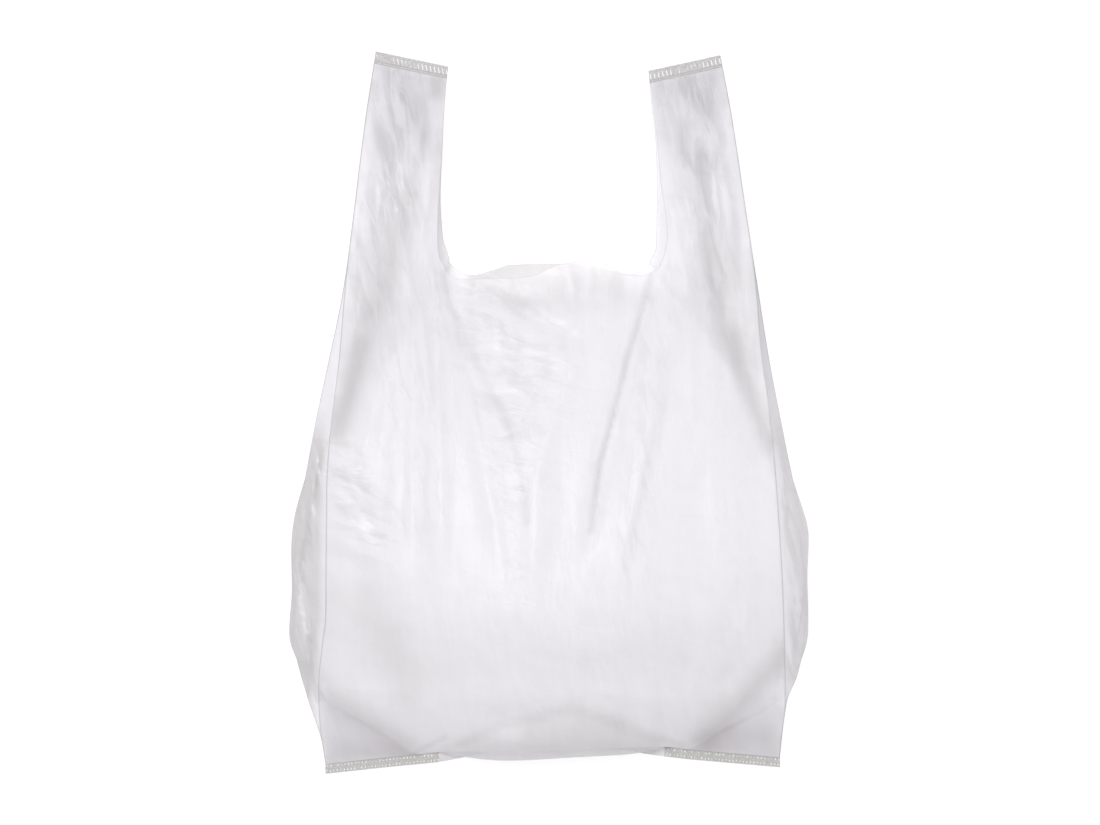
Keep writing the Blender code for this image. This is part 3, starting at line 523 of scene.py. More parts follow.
@dataclass(frozen=True)
class Crinkles:
    """Fine crinkles of the thin film, as noise in three sizes.

    Attributes:
        height: Height of the crinkles, in metres.
        drawn_cell: Size of the slack drawn along the bag, across and up it, in metres.
        drawn_share: Height of that slack, as a share of the crinkles'.
        creased_cell: Size of the ridges along the bag, in metres.
        rucked_cell: Size of the ridges across the bag, in metres.
        rucked_share: Height of the ridges across the bag, as a share of the crinkles'.
        rucked_lean: How far those ridges lean, as a share of their length.
        loose_middle: Pixel at the middle of the loose film, where they are strongest.
        loose_reach: How far the loose film reaches across and up, in metres.
        tight_share: Height left of all crinkles in the tight lower body.
        tight_from: Place up the bag where the film starts to slacken, in metres.
        tight_over: Distance over which it slackens, in metres.
    """

    height: float = 0.0007
    drawn_cell: tuple[float, float] = (0.009, 0.060)
    drawn_share: float = 0.8
    creased_cell: tuple[float, float] = (0.013, 0.034)
    rucked_cell: tuple[float, float] = (0.018, 0.009)
    rucked_share: float = 1.3
    rucked_lean: float = 0.4
    loose_middle: tuple[float, float] = (520.0, 360.0)
    loose_reach: tuple[float, float] = (0.045, 0.075)
    tight_share: float = 0.35
    tight_from: float = -0.05
    tight_over: float = 0.10

    def relief(self, x: np.ndarray, y: np.ndarray) -> np.ndarray:
        """Height of the crinkles: the sum of the three noises, less in the tight film.

        Args:
            x: Places across, in metres.
            y: Places up the bag, in metres.

        Returns:
            Heights, in metres.
        """
        middle_x, middle_y = from_photo(*self.loose_middle)
        reach_x, reach_y = self.loose_reach
        loose = np.exp(-(((x - middle_x) / reach_x) ** 2) - ((y - middle_y) / reach_y) ** 2)
        slack = smooth_step((y - self.tight_from) / self.tight_over)
        tight = self.tight_share + (1 - self.tight_share) * slack
        drawn = self.drawn_share * lattice_noise(x, y, self.drawn_cell, seed=11)
        creased = ridged_noise(x, y, self.creased_cell, seed=23)
        rucked = ridged_noise(x + self.rucked_lean * y, y, self.rucked_cell, seed=37)
        return self.height * tight * (drawn + creased + self.rucked_share * loose * rucked)


@dataclass
class FilmGrid:
    """Counts of the grid's columns round the bag and rows up it."""

    strap: int = 26
    inset: int = 5
    front_middle: int = 84
    back_middle: int = 44
    foot_rows: int = 20
    body_rows: int = 150
    neck_rows: int = 60
    handle_rows: int = 64
    band_rows: int = 5
    inset_share: float = 0.0572

    @property
    def gusset(self) -> int:
        """Columns of half a gusset, from its edge fold to its crease."""
        return self.strap + self.inset

    def middle_shares(self, columns: int) -> np.ndarray:
        """Places of a panel's middle columns, close together over the gussets' creases."""
        edge = self.inset_share
        start = np.linspace(0, edge, self.inset + 1)
        middle = np.linspace(edge, 1 - edge, columns - 2 * self.inset + 1)
        return np.concatenate([start, middle[1:-1], 1 - start[::-1]])


@dataclass
class Panel:
    """One panel of the bag, as columns from its left fold to its right one.

    Attributes:
        side: LEFT or RIGHT for each column.
        strap: Share of the way from the nearer fold to the strap's inner edge.
        middle: Share of the way between the straps' inner edges.
        fold: Edge folds by side.
        inner: Lines of the straps' inner edges by side.
        neck: Cut edge in the neck.
    """

    side: np.ndarray
    strap: np.ndarray
    middle: np.ndarray
    fold: dict[int, Curve]
    inner: dict[int, Curve]
    neck: Curve

    @classmethod
    def made(cls, grid: FilmGrid, columns: int, fold: dict, inner: dict, neck: Curve) -> "Panel":
        """Lay out a panel's columns.

        Args:
            grid: Counts of the grid.
            columns: Columns between the straps.
            fold: Edge folds by side.
            inner: Lines of the straps' inner edges by side.
            neck: Cut edge in the neck.

        Returns:
            The panel.
        """
        rise = np.arange(grid.strap) / grid.strap
        strap = np.concatenate([rise, np.ones(columns + 1), rise[::-1]])
        ends = np.zeros(grid.strap)
        middle = np.concatenate([ends, grid.middle_shares(columns), ends + 1])
        side = np.where(middle < 0.5, LEFT, RIGHT)
        return cls(side, strap, middle, fold, inner, neck)

    def by_side(self, curves: dict[int, Curve], level: np.ndarray) -> np.ndarray:
        """Value of the curve on each column's own side.

        Args:
            curves: Curves by side.
            level: Share up the bag, by column and row.

        Returns:
            Values, by column and row.
        """
        on_left = (self.side == LEFT)[:, None]
        return np.where(on_left, smooth_curve(curves[LEFT], level), smooth_curve(curves[RIGHT], level))

    def across(self, level: np.ndarray) -> np.ndarray:
        """Place across the bag: blended between folds and inner edges by the shares.

        Args:
            level: Share up the bag, by column and row.

        Returns:
            Share of the weld's width, by column and row.
        """
        left = smooth_curve(self.inner[LEFT], level)
        right = smooth_curve(self.inner[RIGHT], level)
        fold = self.by_side(self.fold, level)
        inner = self.by_side(self.inner, level)
        in_strap = fold + (inner - fold) * self.strap[:, None]
        between = left + (right - left) * self.middle[:, None]
        return np.where(self.strap[:, None] < 1, in_strap, between)


@dataclass
class CarrierBag:
    """The bag's film, and the methods that shape and dress it.

    Sizes are in metres, and levels are shares of the bag's length.

    Attributes:
        grid: Counts of the film's grid.
        outline: Lines of the bag.
        crinkles: Fine crinkles of the front film.
        weld_width: Width of the foot weld.
        length: Length of the bag.
        fill_height: Height that the air lifts the front to, where it is fullest.
        foot_band: Width of the foot weld's band.
        handle_band: Width of the handle welds' bands.
        weld_height: Height of the middle of a weld's stack over the floor.
        foot_overhang: How far the front swells past the tucked part of the foot weld.
        tucked_under: Turn of the foot weld, in radians, past which it no longer shows.
        handle_arch: How far the front straps arch between their edges.
        arch_from: Level where the arch starts, and the length over which it grows.
        weld_gap: Gap between layers in a weld.
        layer_gap: Gap between layers that lie together elsewhere.
        gap_reach: Distance from a weld over which the layers part.
        floor_gap: Gap between the lowest layer and the floor.
        pinch_level: Level where the gussets start to stand out.
        neck_level: Level of the cut edge beside the straps.
        gusset_neck: Level of the gusset's crease beside the straps.
        weld_level: Level by which places along the foot weld are read.
        crown_power: Roundness of the front across the bag.
        edge_softness: Softness of the front's start at its edges.
        handle_descent: Length over which the handles come down to their welds.
        tuck_fade: Distance over which the back film leaves its tucked weld.
        relief_lift: Height of the front at which its creases have their full height.
        gusset_bulge: How far the gussets bulge sideways.
        gusset_waves: Waves of the gussets to the bag's length.
        gusset_wave_height: Height of those waves.
        gusset_puffed: Levels and lengths over which the bulge grows and shrinks.
        gusset_closing: Length over which the gussets close up the handles.
        strap_share: Share of a gusset's half that lies along the strap.
        patch_edge: Width of the edges of the patch where layers stick together, and of the gussets' painted
            shade.
        cling_under: Cling over the gusset.
        neck_strip_grey: Grey of the strip of back film that shows in the neck.
        back_strip: Level where that strip starts, and the length over which it grows.
        back_half: Half width of that strip, and the width of its edges.
        outside_painted_shade: Painted shade of the left and right gussets where they stand out.
        outside_top: Place up the bag under which the gussets get that painted shade, and the width of its
            edge.
        crumple_least: Crumpling of all film.
        cut_edge_shade: Weight of painted shade on the cut edges, where a fold has one.
    """

    grid: FilmGrid = field(default_factory=FilmGrid)
    outline: Outline = VEST_BAG
    crinkles: Crinkles = Crinkles()
    weld_width: float = 0.300
    length: float = 0.4786
    fill_height: float = 0.080
    foot_band: float = 0.0065
    handle_band: float = 0.0080
    weld_height: float = 0.0011
    foot_overhang: float = 0.0045
    tucked_under: float = 0.12
    handle_arch: float = 0.0035
    arch_from: tuple[float, float] = (0.62, 0.12)
    weld_gap: float = 0.00008
    layer_gap: float = 0.0010
    gap_reach: float = 0.006
    floor_gap: float = 0.0002
    pinch_level: float = 0.1176
    neck_level: float = 0.6957
    gusset_neck: float = 0.686
    weld_level: float = 0.020
    crown_power: float = 2.4
    edge_softness: float = 0.03
    handle_descent: float = 0.18
    tuck_fade: float = 0.020
    relief_lift: float = 0.015
    gusset_bulge: float = 0.004
    gusset_waves: float = 5.0
    gusset_wave_height: float = 0.0022
    gusset_puffed: tuple[tuple[float, float], tuple[float, float]] = ((0.13, 0.07), (0.50, 0.10))
    gusset_closing: float = 0.12
    strap_share: float = 0.85
    patch_edge: float = 0.014
    cling_under: float = 0.20
    neck_strip_grey: float = 0.60
    back_strip: tuple[float, float] = (0.62, 0.05)
    back_half: tuple[float, float] = (0.060, 0.012)
    outside_painted_shade: tuple[float, float] = (0.72, 0.45)
    outside_top: tuple[float, float] = (0.010, 0.04)
    crumple_least: float = 0.10
    cut_edge_shade: float = 0.84

    def __post_init__(self) -> None:
        """Lay out the two panels' columns."""
        grid, lines = self.grid, self.outline
        self.front = Panel.made(
            grid, grid.front_middle, lines.front_fold, lines.front_inner, lines.front_neck
        )
        self.back = Panel.made(
            grid, grid.back_middle, lines.back_fold, lines.back_inner, lines.back_neck
        )
        self.right_front = len(self.front.side) - 1
        self.right_back = self.right_front + 2 * grid.gusset
        self.left_back = self.right_back + len(self.back.side) - 1
        self.ring = self.left_back + 2 * grid.gusset
        self.shift = self.frame_shift()
        self.neck_row = grid.foot_rows + grid.body_rows
        self.top_row = self.neck_row + grid.handle_rows

    def weld_tops(self, panel: Panel) -> np.ndarray:
        """Level of the lower edge of the nearer handle's weld, by column."""
        left, right = self.outline.handle_top[LEFT], self.outline.handle_top[RIGHT]
        outer = np.where(panel.side == LEFT, left[0], right[0])
        inner = np.where(panel.side == LEFT, left[1], right[1])
        return outer + (inner - outer) * panel.strap - self.handle_band / self.length

    def panel_levels(self, panel: Panel, overhang: float) -> tuple[np.ndarray, np.ndarray]:
        """Level and rise of each point of a panel.

        Near the foot the rows are spaced by an angle t, level = edge + reach (1 - cos t),
        and the rise is sin t, so the film swells out of its weld in a round.

        Args:
            panel: The panel.
            overhang: How far the panel swells past the tucked weld, in metres.

        Returns:
            Level up the bag, and rise from nought at the weld to one, by column and row.
        """
        grid = self.grid
        across = panel.across(np.full((len(panel.side), 1), self.weld_level))[:, 0]
        shares = (across - across[0]) / (across[-1] - across[0])
        tuck = np.sin(smooth_curve(self.outline.foot_tuck, shares))
        drop = overhang * tuck / self.length
        edge = smooth_curve(self.outline.foot_weld, shares) - drop
        reach = (self.pinch_level - edge)[:, None]
        first = -np.arccos(1 - drop[:, None] / reach)
        climb = np.arange(grid.foot_rows + 1)[None, :] / grid.foot_rows
        even = np.arccos(1 - climb)
        turned = first + (math.pi / 2 - first) * climb
        turn = even + (turned - even) * (tuck[:, None] if overhang else 0.0)
        foot = edge[:, None] + reach * (1 - np.cos(turn))
        foot_rise = (np.sin(turn) - np.sin(first)) / (1 - np.sin(first))

        neck = self.neck_level + (smooth_curve(panel.neck, panel.middle) - self.neck_level) * panel.strap
        neck = neck[:, None]
        rows = np.arange(1, grid.body_rows + 1)[None, :]
        pull = np.clip((rows - (grid.body_rows - grid.neck_rows)) / grid.neck_rows, 0, 1) ** 2
        span = self.neck_level - self.pinch_level
        body = self.pinch_level + span * rows / grid.body_rows + (neck - self.neck_level) * pull
        climb = np.arange(1, grid.handle_rows + 1)[None, :] / grid.handle_rows
        handle = neck + (self.weld_tops(panel)[:, None] - neck) * climb
        above = np.ones((len(panel.side), grid.body_rows + grid.handle_rows))
        level = np.concatenate([foot, body, handle], axis=1)
        return level, np.concatenate([foot_rise, above], axis=1)

    def layer_pitch(self, level: np.ndarray, panel: Panel) -> np.ndarray:
        """Gap between stacked layers: least beside a weld, growing as 1 - exp(-d/reach)."""
        from_foot = level - level[:, :1]
        from_top = self.weld_tops(panel)[:, None] - level
        from_weld = np.maximum(np.minimum(from_foot, from_top), 0) * self.length
        return self.weld_gap + (self.layer_gap - self.weld_gap) * (1 - np.exp(-from_weld / self.gap_reach))

    def stack_height(self, pitch: np.ndarray, layers: int) -> np.ndarray:
        """Height of the film over so many other layers, half a layer nearer at a fold."""
        height = self.floor_gap + layers * pitch
        height[[0, -1]] += (0.5 if layers == 0 else -0.5) * pitch[[0, -1]]
        return height

    def front_lift(self, level: np.ndarray, across: np.ndarray, rise: np.ndarray) -> np.ndarray:
        """Height of the front panel over its lowest place, without its folds.

        At share s from the edge to the middle it is low + (high - low)(1 - (1 - s)^p).

        Args:
            level: Share up the bag, by column and row.
            across: Share across it.
            rise: Nought at the foot weld to one at the pinch.

        Returns:
            Heights, in metres, by column and row.
        """
        lines = self.outline
        strap = self.grid.strap
        on_left = (self.front.side == LEFT)[:, None]
        inward = np.where(on_left, 1.0, -1.0)
        middle = ((across[strap] + across[-1 - strap]) / 2)[None, :]
        start = np.where(on_left, across[:1], across[-1:])
        creased = self.front.by_side(lines.gusset_crease, level)
        inner = inward * np.maximum(inward * creased, inward * start)
        start = np.where(level < self.pinch_level, inner, start)
        share = np.clip((across - start) / (middle - start), 0.0, 1.0)
        share = share**2 / (share + self.edge_softness)
        share[:, self.neck_row + 1 :] = share[:, self.neck_row : self.neck_row + 1]
        low = self.front.by_side(lines.fold_height, level)
        high = smooth_curve(lines.crown_height, level) * rise
        lift = low + (high - low) * (1 - (1 - share) ** self.crown_power)
        return np.maximum(lift, 0.0) * self.fill_height

    def relief(self, x: np.ndarray, y: np.ndarray) -> np.ndarray:
        """Height of the front film's relief: that of its creases and crinkles together."""
        creased = sum(crease.relief(x, y) for crease in BROAD_CREASES + FINE_CREASES)
        return creased + self.crinkles.relief(x, y)

    def cling(self, points: np.ndarray) -> np.ndarray:
        """Weight of grey at each point, from nought to one: layers stuck together, and painted shade.

        A point of the front is greyer where the gusset lies under it, outside the gusset's
        crease, as the layers stick together there. The edge of that patch is a smooth step, and
        the patches of painted shade are added to it. The gussets get painted shade where they
        stand out, and the back a grey strip where it shows in the neck.

        Args:
            points: Points of the film, by place round the ring and row.

        Returns:
            Weight of grey, by place and row.
        """
        x, y = points[:, :, 0], points[:, :, 1]
        level = (y - self.shift[1]) / self.length
        left, right, fold_left, fold_right = (
            smooth_curve(line[side], level) * self.weld_width + self.shift[0]
            for line in (self.outline.gusset_crease, self.outline.front_fold)
            for side in (LEFT, RIGHT)
        )
        inside = np.maximum(left - x, x - right)
        tucked = np.maximum(left - fold_left, fold_right - right)
        under = smooth_step(inside / self.patch_edge + 0.5) * smooth_step(tucked / self.patch_edge)
        # Front: grey of the layers stuck over the gusset, plus the patches of painted shade.
        front_grey = self.cling_under * under + sum(shade_patch.spread(x, y) for shade_patch in PAINTED_SHADE_PATCHES)
        top, top_edge = self.outside_top
        # Gussets: painted shade where they stand out, low on the bag.
        on_left = self.outside_painted_shade[0] * smooth_step(2 * (fold_left - x) / self.patch_edge)
        on_right = self.outside_painted_shade[1] * smooth_step(2 * (x - fold_right) / self.patch_edge)
        total = (on_left + on_right) * smooth_step((top - y) / top_edge)
        # Back: a grey strip where it shows in the neck.
        back = slice(self.right_back, self.left_back + 1)
        start, over = self.back_strip
        half, half_edge = self.back_half
        strip = smooth_step((level[back] - start) / over) * smooth_step((half - np.abs(x[back])) / half_edge)
        total[back] = self.neck_strip_grey * strip
        total[: self.right_front + 1] = front_grey[: self.right_front + 1]
        return np.clip(total, 0.0, 1.0)

    def crumple(self, points: np.ndarray, zones: tuple[SoftPatch, ...]) -> np.ndarray:
        """How strongly the film is crumpled at each point, from nought to one: the weight of its bumps,
        painted shade and painted glints.

        Args:
            points: Points of the film, by place round the ring and row.
            zones: Patches of crumpled film.

        Returns:
            The least crumpling of all film plus that of the patches, by place and row.
        """
        spreads = (zone.spread(points[:, :, 0], points[:, :, 1]) for zone in zones)
        return np.clip(sum(spreads, self.crumple_least), 0.0, 1.0)

    def folds(self, points: np.ndarray) -> np.ndarray:
        """Weight of painted shade: one on the four long folds of the tube, less on cut edges, and nought
        elsewhere.
        """
        held = self.cells()
        beside = held & np.roll(held, 1, axis=0)
        inner = beside[:, 1:] & beside[:, :-1]
        total = np.zeros(points.shape[:2])
        total[:, 1:-1] = np.where(inner, 0.0, self.cut_edge_shade)
        total[[0, self.right_front, self.right_back, self.left_back]] = 1.0
        return total

    def front_film(self) -> tuple[np.ndarray, np.ndarray]:
        """Points of the front panel, by column and row, and the pitch of its layers."""
        level, rise = self.panel_levels(self.front, self.foot_overhang)
        across = self.front.across(level)
        x = across * self.weld_width + self.shift[0]
        y = level * self.length + self.shift[1]
        from_top = self.weld_tops(self.front)[:, None] - level
        descent = smooth_step(from_top / self.handle_descent)
        lift = self.front_lift(level, across, rise) * descent
        arch = self.handle_arch * np.sin(math.pi * self.front.strap)[:, None]
        arch = arch * smooth_step((level - self.arch_from[0]) / self.arch_from[1]) * descent
        relief = self.relief(x, y) * smooth_step(lift / self.relief_lift)
        tuck_angle = smooth_curve(self.outline.foot_tuck, self.foot_share(across[:, 0]))
        tuck = self.foot_band * np.sin(tuck_angle)[:, None] * (1 - rise)
        pitch = self.layer_pitch(level, self.front)
        z = self.stack_height(pitch, 3) + lift + arch + relief + tuck
        return np.stack([x, y, z], axis=-1), pitch

    def back_film(self) -> np.ndarray:
        """Points of the back panel, by column from left to right and row."""
        level, _ = self.panel_levels(self.back, 0.0)
        across = self.back.across(level)
        tuck_angle = smooth_curve(self.outline.foot_tuck, self.foot_share(across[:, 0]))
        tuck = self.foot_band * np.sin(tuck_angle)[:, None]
        fall = np.clip(1 - (level - level[:, :1]) * self.length / self.tuck_fade, 0.0, 1.0) ** 2
        x = across * self.weld_width + self.shift[0]
        y = level * self.length + self.shift[1]
        pitch = self.layer_pitch(level, self.back)
        return np.stack([x, y, self.stack_height(pitch, 0) + tuck * fall], axis=-1)

    def foot_share(self, across: np.ndarray) -> np.ndarray:
        """Share along the foot weld of places across the bag."""
        return (across - across.min()) / np.ptp(across)

    def gusset_film(
        self, front: np.ndarray, back: np.ndarray, pitch: np.ndarray, side: int
    ) -> np.ndarray:
        """Points of one gusset, from beside the front fold to beside the back one.

        Each half is blended from its panel's fold to the crease, and pulled on to the
        panel at the foot, at the neck and up the handle, where the layers lie together.

        Args:
            front: Columns of the front panel from this side's fold inwards.
            back: Columns of the back panel, the same way.
            pitch: Gap between layers, for the front's columns.
            side: LEFT or RIGHT.

        Returns:
            Points by column and row.
        """
        grid = self.grid
        count = grid.gusset
        rows = np.arange(self.top_row + 1)
        neck_rows = self.neck_row - grid.neck_rows
        neck_pull = np.clip((rows - neck_rows) / grid.neck_rows, 0, 1) ** 2
        foot_pull = np.clip(1 - rows / grid.foot_rows, 0, 1) ** 2
        at_folds = (front[0, :, 1] + back[0, :, 1]) / 2
        at_crease = (front[count, :, 1] + back[count, :, 1]) / 2
        y = at_folds + (at_crease - at_folds) * foot_pull
        level = (y - self.shift[1]) / self.length + (self.gusset_neck - self.neck_level) * neck_pull
        half_height = (front[0, :, 2] + back[0, :, 2]) / 2
        crease = smooth_curve(self.outline.gusset_crease[side], level)
        x = crease * self.weld_width + self.shift[0]
        middle = np.stack([x, level * self.length + self.shift[1], half_height], axis=-1)
        (low, low_over), (high, high_over) = self.gusset_puffed
        stood_out = smooth_step((level - low) / low_over) * smooth_step((high - level) / high_over)
        wave = self.gusset_wave_height * np.sin(2 * math.pi * self.gusset_waves * level)
        hugging = smooth_step((level - self.neck_level) / self.gusset_closing)
        column = np.arange(1, count)
        near = self.strap_share * column / grid.strap
        far = self.strap_share + (1 - self.strap_share) * (column - grid.strap) / grid.inset
        share = np.where(column <= grid.strap, near, far)[:, None]
        closing = np.clip((share - self.strap_share) / (1 - self.strap_share), 0, 1)
        halves = []
        for panel, facing in ((front, 1.0), (back, -1.0)):
            beside = panel[1:count]
            place = panel[:1] + (middle - panel[:1]) * share[:, :, None]
            pull = (neck_pull + foot_pull)[None, :] * (1 - closing)
            place = place + (beside - place) * pull[:, :, None]
            bow = (self.gusset_bulge + facing * wave) * stood_out * np.sin(math.pi * share)
            place[:, :, 0] += side * bow
            gap = pitch[1:count]
            span = np.abs(panel[0, :, 2] - half_height) - gap
            open_height = half_height + facing * (gap / 2 * (1 - closing) + span * (1 - share))
            shut_height = beside[:, :, 2] - facing * gap
            place[:, :, 2] = open_height + (shut_height - open_height) * hugging
            halves.append(place)
        return np.concatenate([halves[0], middle[None], halves[1][::-1]])

    def weld_stack(self) -> np.ndarray:
        """Height of each place of the ring in a weld's stack, in gaps from its middle."""
        count = self.grid.gusset
        height = np.full(self.ring, 0.5)
        height[self.right_back : self.left_back + 1] = -0.5
        steps = np.arange(1, count + 1)
        folds = (
            (self.right_front, 1, 1.0),
            (self.right_back, -1, -1.0),
            (self.left_back, 1, -1.0),
            (self.ring, -1, 1.0),
        )
        for fold, to_crease, side in folds:
            height[(fold - to_crease * steps) % self.ring] = 1.5 * side
            height[(fold + to_crease * steps) % self.ring] = 0.5 * side
            height[fold % self.ring] = side
            height[(fold + to_crease * count) % self.ring] = 0.0
        return height

    def film(self) -> np.ndarray:
        """Points of the whole film, by place round the ring and row.

        The rows of the foot band come first and those of the handle bands last.

        Returns:
            Points, in metres.
        """
        front, pitch = self.front_film()
        back = self.back_film()
        left = self.gusset_film(front, back, pitch, LEFT)
        right = self.gusset_film(front[::-1], back[::-1], pitch[::-1], RIGHT)
        middle = np.concatenate([front, right, back[::-1], left[::-1]])[: self.ring]
        height = self.weld_stack()[:, None, None]
        band = np.arange(self.grid.band_rows + 1)[None, :, None] / self.grid.band_rows

        across = middle[:, 0, 0]
        share = self.foot_share(across)
        turn = smooth_curve(self.outline.foot_tuck, share)
        level = smooth_curve(self.outline.foot_weld, share) * self.length + self.shift[1]
        flat = turn * 0
        centre = np.stack([across, level, self.weld_height + self.foot_band * np.sin(turn)], axis=-1)
        face = np.stack([flat, -np.sin(turn), np.cos(turn)], axis=-1)[:, None]
        run = np.stack([flat, -np.cos(turn), -np.sin(turn)], axis=-1)[:, None]
        foot = centre[:, None] + face * height * self.weld_gap + run * self.foot_band * band
        foot = foot[:, ::-1]

        lean = middle[:, -1] - middle[:, -2]
        lean[:, 2] = 0.0
        top = middle[:, -1].copy()
        top[:, 2] = self.weld_height
        upright = np.array([0.0, 0.0, 1.0])
        handle = top[:, None] + upright * height * self.weld_gap
        handle = handle + unit(lean)[:, None] * self.handle_band * band
        return np.concatenate([foot, middle[:, 1:-1], handle], axis=1)

    def weld_map(self, points: np.ndarray) -> np.ndarray:
        """Places along and across the welds, in metres.

        Along is the place across the bag. Across is the distance past the nearer
        weld's inner line, below nought in the film, and a metre is added at the foot.

        Args:
            points: Points of the film, by place round the ring and row.

        Returns:
            Map places, by place and row.
        """
        bands = self.grid.band_rows
        steps = np.linalg.norm(np.diff(points, axis=1), axis=-1)
        upward = np.concatenate([np.zeros((len(points), 1)), np.cumsum(steps, axis=1)], axis=1)
        from_foot = upward[:, bands : bands + 1] - upward
        from_top = upward - upward[:, -1 - bands : -bands]
        half = points.shape[1] // 2
        across = np.concatenate([1.0 + from_foot[:, :half], from_top[:, half:]], axis=1)
        return np.stack([points[:, :, 0], across], axis=-1)

    def frame_shift(self) -> tuple[float, float]:
        """Move from the bag's own lines to the row frame, where its box is centred.

        Returns:
            Move across and up, in metres.
        """
        low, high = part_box("carrier_bag")
        levels = np.linspace(0, 1, 2000)
        least = smooth_curve(self.outline.back_fold[LEFT], levels).min() * self.weld_width
        most = smooth_curve(self.outline.back_fold[RIGHT], levels).max() * self.weld_width
        return (low[0] + high[0]) / 2 - (least + most) / 2, high[1] - self.length

    def cells(self) -> np.ndarray:
        """Which cells of the grid hold film, by place and row, the bands included."""
        grid = self.grid
        rows = self.top_row + 2 * grid.band_rows
        held = np.zeros((self.ring, rows), bool)
        held[:, : grid.band_rows + self.neck_row] = True
        folds = np.array([self.right_front, self.right_back, self.left_back, self.ring])
        places = (folds[:, None] + np.arange(-grid.strap, grid.strap)[None, :]) % self.ring
        held[places.ravel(), grid.band_rows + self.neck_row :] = True
        return held

    def build(self) -> bpy.types.Object:
        """Build the film as one sheet, with its map and its band cells set apart.

        Returns:
            The film's object.
        """
        points = self.film()
        held = self.cells()
        place, row = np.nonzero(held)
        after = (place + 1) % self.ring
        width = points.shape[1]
        corners = np.stack(
            [place * width + row, after * width + row, after * width + row + 1, place * width + row + 1],
            axis=1,
        )
        used, faces = np.unique(corners, return_inverse=True)
        faces = faces.reshape(corners.shape)
        coordinates = points.reshape(-1, 3)[used]
        mesh = bpy.data.meshes.new("bag_film")
        mesh.from_pydata(coordinates.tolist(), [], faces.tolist())
        for name, places in (("film", points[:, :, :2]), ("weld", self.weld_map(points))):
            layer = mesh.uv_layers.new(name=name)
            per_corner = places.reshape(-1, 2)[used][faces.ravel()]
            layer.data.foreach_set("uv", per_corner.ravel().astype(np.float32))
        for name, values in (
            ("cling", self.cling(points)),
            ("crumple", self.crumple(points, CRUMPLES)),
            ("rumple", self.crumple(points, RUMPLES)),
            ("fold", self.folds(points)),
        ):
            layer = mesh.attributes.new(name, "FLOAT", "POINT")
            layer.data.foreach_set("value", values.ravel()[used].astype(np.float32))
        along_foot = self.foot_share(points[:, self.grid.band_rows, 0])
        turn = smooth_curve(self.outline.foot_tuck, along_foot)
        in_foot = (row < self.grid.band_rows) & (turn[place] < self.tucked_under)
        in_handle = row >= self.grid.band_rows + self.top_row
        bands = in_foot + 2 * in_handle.astype(np.int32)
        mesh.polygons.foreach_set("material_index", bands.astype(np.int32))
        mesh.validate()
        mesh.shade_smooth()
        mesh.set_sharp_from_angle(angle=math.radians(60))
        film = add_object("bag_film", mesh)
        LOG.info("bag_film: %d faces of film, of which %d in the welds", len(faces), (bands > 0).sum())
        return film


def add_object(name: str, data: bpy.types.ID) -> bpy.types.Object:
    """Add an object with the data to the scene."""
    added = bpy.data.objects.new(name, data)
    bpy.context.scene.collection.objects.link(added)
    return added


class Graph:
    """Node tree of a material or a world, emptied and then filled node by node."""

    def __init__(self, owner: bpy.types.Material | bpy.types.World) -> None:
        """Empty the owner's node tree."""
        owner.use_nodes = True
        self.tree = owner.node_tree
        self.tree.nodes.clear()

    def add_node(self, kind: str, values: dict | None = None) -> bpy.types.Node:
        """Add a node with its values and links.

        Args:
            kind: Blender's name of the node's type, without its ShaderNode.
            values: Values by property, input name or input number, where a socket is linked.

        Returns:
            The node.
        """
        node = self.tree.nodes.new("ShaderNode" + kind)
        for name, value in (values or {}).items():
            if isinstance(value, Socket):
                self.tree.links.new(value, node.inputs[name])
            elif isinstance(name, str) and hasattr(node, name):
                setattr(node, name, value)
            else:
                node.inputs[name].default_value = value
        return node

    def maths(self, operation: str, *values: Socket | float, clamp: bool = False) -> Socket:
        """Result of an operation on the values."""
        inputs = dict(enumerate(values))
        return self.add_node("Math", {"operation": operation, "use_clamp": clamp, **inputs}).outputs[0]

    def attribute(self, name: str) -> Socket:
        """Value of one of the mesh's attributes."""
        return self.add_node("Attribute", {"attribute_name": name}).outputs["Fac"]

    def scaled(self, places: Socket, scale: tuple[float, float, float]) -> Socket:
        """Map with its places multiplied by the scale."""
        return self.add_node("Mapping", {"Vector": places, "Scale": scale}).outputs["Vector"]

    def noise(self, places: Socket, **values: float) -> Socket:
        """Noise over a map, one lump to its unit unless a Scale is given."""
        return self.add_node("TexNoise", {"Vector": places, "Scale": 1.0, **values}).outputs["Fac"]

    def fade(
        self, value: Socket, start: float, end: float, low: float = 0.0, high: float = 1.0,
        form: str = "LINEAR",
    ) -> Socket:
        """Go from one value to another as a third passes over a range.

        Args:
            value: The value that passes over the range.
            start: Start of the range.
            end: End of the range.
            low: Result at the start.
            high: Result at the end.
            form: Blender's name of the fade's form.

        Returns:
            The result.
        """
        ends = {"From Min": start, "From Max": end, "To Min": low, "To Max": high}
        values = {"interpolation_type": form, "Value": value, **ends}
        return self.add_node("MapRange", values).outputs["Result"]

    def mix(self, share: Socket, low: Paint, high: Paint) -> Socket:
        """Blend of two colours, the first where the share is nought."""
        return self.add_node("Mix", {"data_type": "RGBA", 0: share, 6: low, 7: high}).outputs[2]

    def bump(self, height: Socket, share: float, reach: float, under: Socket | None = None) -> Socket:
        """Normals bent by a height.

        Args:
            height: The height.
            share: Strength of the bend.
            reach: Distance that a height of one stands for, in metres.
            under: Normals that are bent already.

        Returns:
            The normals.
        """
        values = {"Strength": share, "Distance": reach, "Height": height}
        if under is not None:
            values["Normal"] = under
        return self.add_node("Bump", values).outputs["Normal"]

    def join(self, share: Socket | float, first: Socket, second: Socket) -> Socket:
        """Mix of two shaders, the first where the share is nought."""
        return self.add_node("MixShader", {0: share, 1: first, 2: second}).outputs[0]

    def shader(self, kind: str, values: dict) -> Socket:
        """Shader of the kind with its values."""
        return self.add_node(kind, values).outputs[0]


